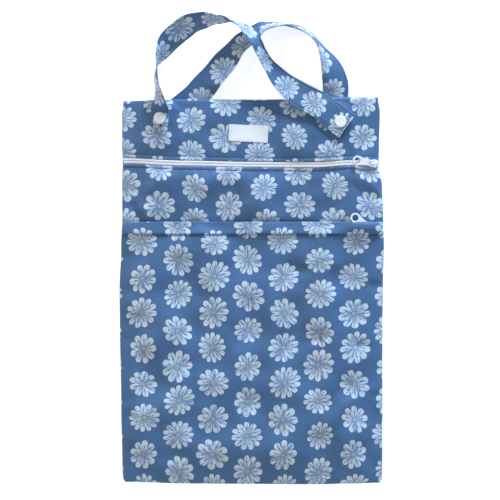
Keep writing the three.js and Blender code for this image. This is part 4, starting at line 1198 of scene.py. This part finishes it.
# Radius and height, from the middle of the outer face round to the middle of the seat.
cap_profile = [(0, 1.28), (1.2, 1.26), (1.7, 1.2), (2.2, 1.24), (3.6, 1.34), (4.8, 1.38), (5.5, 1.28),
               (5.95, 1.02), (cap_radius, 0.66), (6.15, 0.34), (5.8, 0.1), (5.3, 0.0), (0, 0.0)]
socket_profile = [(0, 0.75), (1.3, 0.75), (1.5, 0.9), (1.55, 1.95), (1.9, 2.15), (2.6, 2.2), (4.0, 2.2),
                  (4.6, 2.05), (4.95, 1.7), (socket_radius, 1.2), (4.95, 0.3), (4.7, 0.0), (0, 0.0)]


def turned_piece(name, profile, place):
    count = 40
    turns = np.arange(count) * 2 * math.pi / count
    points = [(0, 0, profile[0][1])]
    for radius, height in profile[1:-1]:
        points += [(radius * math.cos(t), radius * math.sin(t), height) for t in turns]
    points.append((0, 0, profile[-1][1]))
    faces = [[0, 1 + k, 1 + (k + 1) % count] for k in range(count)]
    for step in range(len(profile) - 3):
        here = 1 + step * count
        faces += [[here + k, here + count + k, here + count + (k + 1) % count, here + (k + 1) % count]
                  for k in range(count)]
    here, last = 1 + (len(profile) - 3) * count, len(points) - 1
    faces += [[last, here + (k + 1) % count, here + k] for k in range(count)]
    mesh = bpy.data.meshes.new(name)
    mesh.from_pydata(points, [], faces)
    mesh.transform(Matrix.Scale(MM, 4) @ place)
    mesh.shade_smooth()
    mesh.set_sharp_from_angle(angle=math.radians(55))
    return mesh


for strap_side, stations, cap_side, snap_stations in (("front", front_strap_stations, 1, (1, 22)),
                                                      ("back", back_strap_stations, -1, (1, 20))):
    for snap_side, station in zip(("left", "right"), snap_stations):
        share = np.array([station / (len(stations) - 1)])
        centre, ahead, wide, outward, _ = (value[0] for value in strap_run(stations, share))
        for part, facing, profile in (("cap", cap_side, cap_profile), ("socket", -cap_side, socket_profile)):
            seat = centre + outward * facing * (strap_thickness / 2 + snap_gap)
            place = Matrix((ahead, wide, outward)).transposed().to_4x4()
            if facing < 0:
                place = place @ Matrix.Rotation(math.pi, 4, "X")
            place.translation = Vector(seat)
            node_name = f"{strap_side}_{snap_side}_snap_{part}"
            snap = place_piece(f"{strap_side}_{snap_side}_{part}_moulding",
                               turned_piece(node_name + "_mesh", profile, place), acetal)
            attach(snap, "bag")
            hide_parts(node_name)

# The label is a short piece of fine white woven ribbon, left bare. Its two short ends are folded
# under and it is sewn down all round with white thread.
label_width = 40.7
label_height = 17.5
label_turn = math.radians(-2.7)
label_middle = (-3.2, top_y - 37.1)
yarns_apart = (1.1, 0.9)    # the real yarns are 0.25 mm apart and too fine to show
label_thickness = 0.6
sewn_inset = 1.4

# Fine woven polyester ribbon: a matt white to which the yarns give a faint grain, painted as shade that is
# darker where the yarns dip.
label_weave, tree = new_finish("white_woven_ribbon")
cloth_spot = add_node(tree, "ShaderNodeAttribute", attribute_name="print_mm")
yarn_turns = add_node(tree, "ShaderNodeVectorMath", {0: cloth_spot.outputs["Vector"],
                      1: (2 * math.pi / yarns_apart[0], 2 * math.pi / yarns_apart[1], 0)},
                      operation="MULTIPLY")
yarn_waves = add_node(tree, "ShaderNodeVectorMath", {0: yarn_turns.outputs[0]}, operation="SINE")
yarn_split = add_node(tree, "ShaderNodeSeparateXYZ", {0: yarn_waves.outputs[0]})
yarn_sum = add_node(tree, "ShaderNodeMath", {0: yarn_split.outputs[0], 1: yarn_split.outputs[1]},
                    operation="MULTIPLY")
yarn_shade = add_node(tree, "ShaderNodeMapRange", {"Value": yarn_sum.outputs[0], "From Min": -1.0})
label_colour = add_node(tree, "ShaderNodeMix", {0: yarn_shade.outputs[0], 6: linear("#e2e7f0"),
                        7: linear("#f3f6fa")}, data_type="RGBA")
yarn_bump = add_node(tree, "ShaderNodeBump", {"Height": yarn_sum.outputs[0], "Strength": 0.5,
                     "Distance": 0.08 * MM})
show_surface(tree, add_node(tree, "ShaderNodeBsdfPrincipled", {
    "Base Color": label_colour.outputs[2], "Roughness": 0.7, "IOR": 1.5, "Sheen Weight": 0.1,
    "Normal": yarn_bump.outputs[0]}))


def place_label(across, y):
    x = across * label_width / 2
    return (label_middle[0] + x * math.cos(label_turn) - y * math.sin(label_turn),
            label_middle[1] + x * math.sin(label_turn) + y * math.cos(label_turn))


def label_face(across, y):
    x_spot, y_spot = place_label(across, y)
    on_bag = across_at(x_spot, y_spot)
    from_end = (1 - np.abs(across)) * label_width / 2
    from_side = label_height / 2 - np.abs(y)
    edge = np.minimum(from_end, from_side)
    folded = 0.25 * smooth((6 - from_end) / 0.8)
    stitched = 0.18 * np.exp(-((edge - sewn_inset) / 0.45) ** 2)
    rounding = 0.3 * (1 - np.clip(edge / 0.5, 0, 1)) ** 2
    return front_face(on_bag, y_spot) + 0.75 + folded - stitched - rounding


near_label_edge = np.array((0.2, 0.5, 0.9, 1.4, 1.9))
near_label_fold = np.array((*near_label_edge, 5.5, 6.0))
label_rows = steps_between(-label_height / 2, label_height / 2, 0.9,
                           (-label_height / 2, near_label_edge), (label_height / 2, -near_label_edge))
label_columns = steps_between(-label_width / 2, label_width / 2, 1.0,
                              (-label_width / 2, near_label_fold),
                              (label_width / 2, -near_label_fold)) / (label_width / 2)
label_mesh = cloth_sheet("woven_label", label_rows, label_columns, label_face,
                         lambda across, y: label_face(across, y) - label_thickness, (0.0, 0.0),
                         place=place_label)
woven_label = place_piece("woven_label", label_mesh, label_weave)
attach(woven_label, "bag")
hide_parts("label")

white_thread = polyester_thread("white_polyester_thread", "#cfd5df", "#edf0f5", 0.5)
label_rows_sewn = []
for across_ends, y_ends in (((-0.93, 0.93), (7.35, 7.35)), ((-0.93, 0.93), (-7.35, -7.35)),
                            ((-0.931, -0.931), (-7.35, 7.35)), ((0.931, 0.931), (-7.35, 7.35))):
    across_line, y_line = np.linspace(*across_ends, 60), np.linspace(*y_ends, 60)
    x_spot, y_spot = place_label(across_line, y_line)
    row = np.stack([x_spot, y_spot, label_face(across_line, y_line)], -1)
    label_rows_sewn.append((row, np.tile((0.0, 0.0, 1.0), (60, 1))))
label_stitching = place_piece("label_stitching", stitching_mesh("label_stitching", label_rows_sewn),
                              white_thread)
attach(label_stitching, "bag")
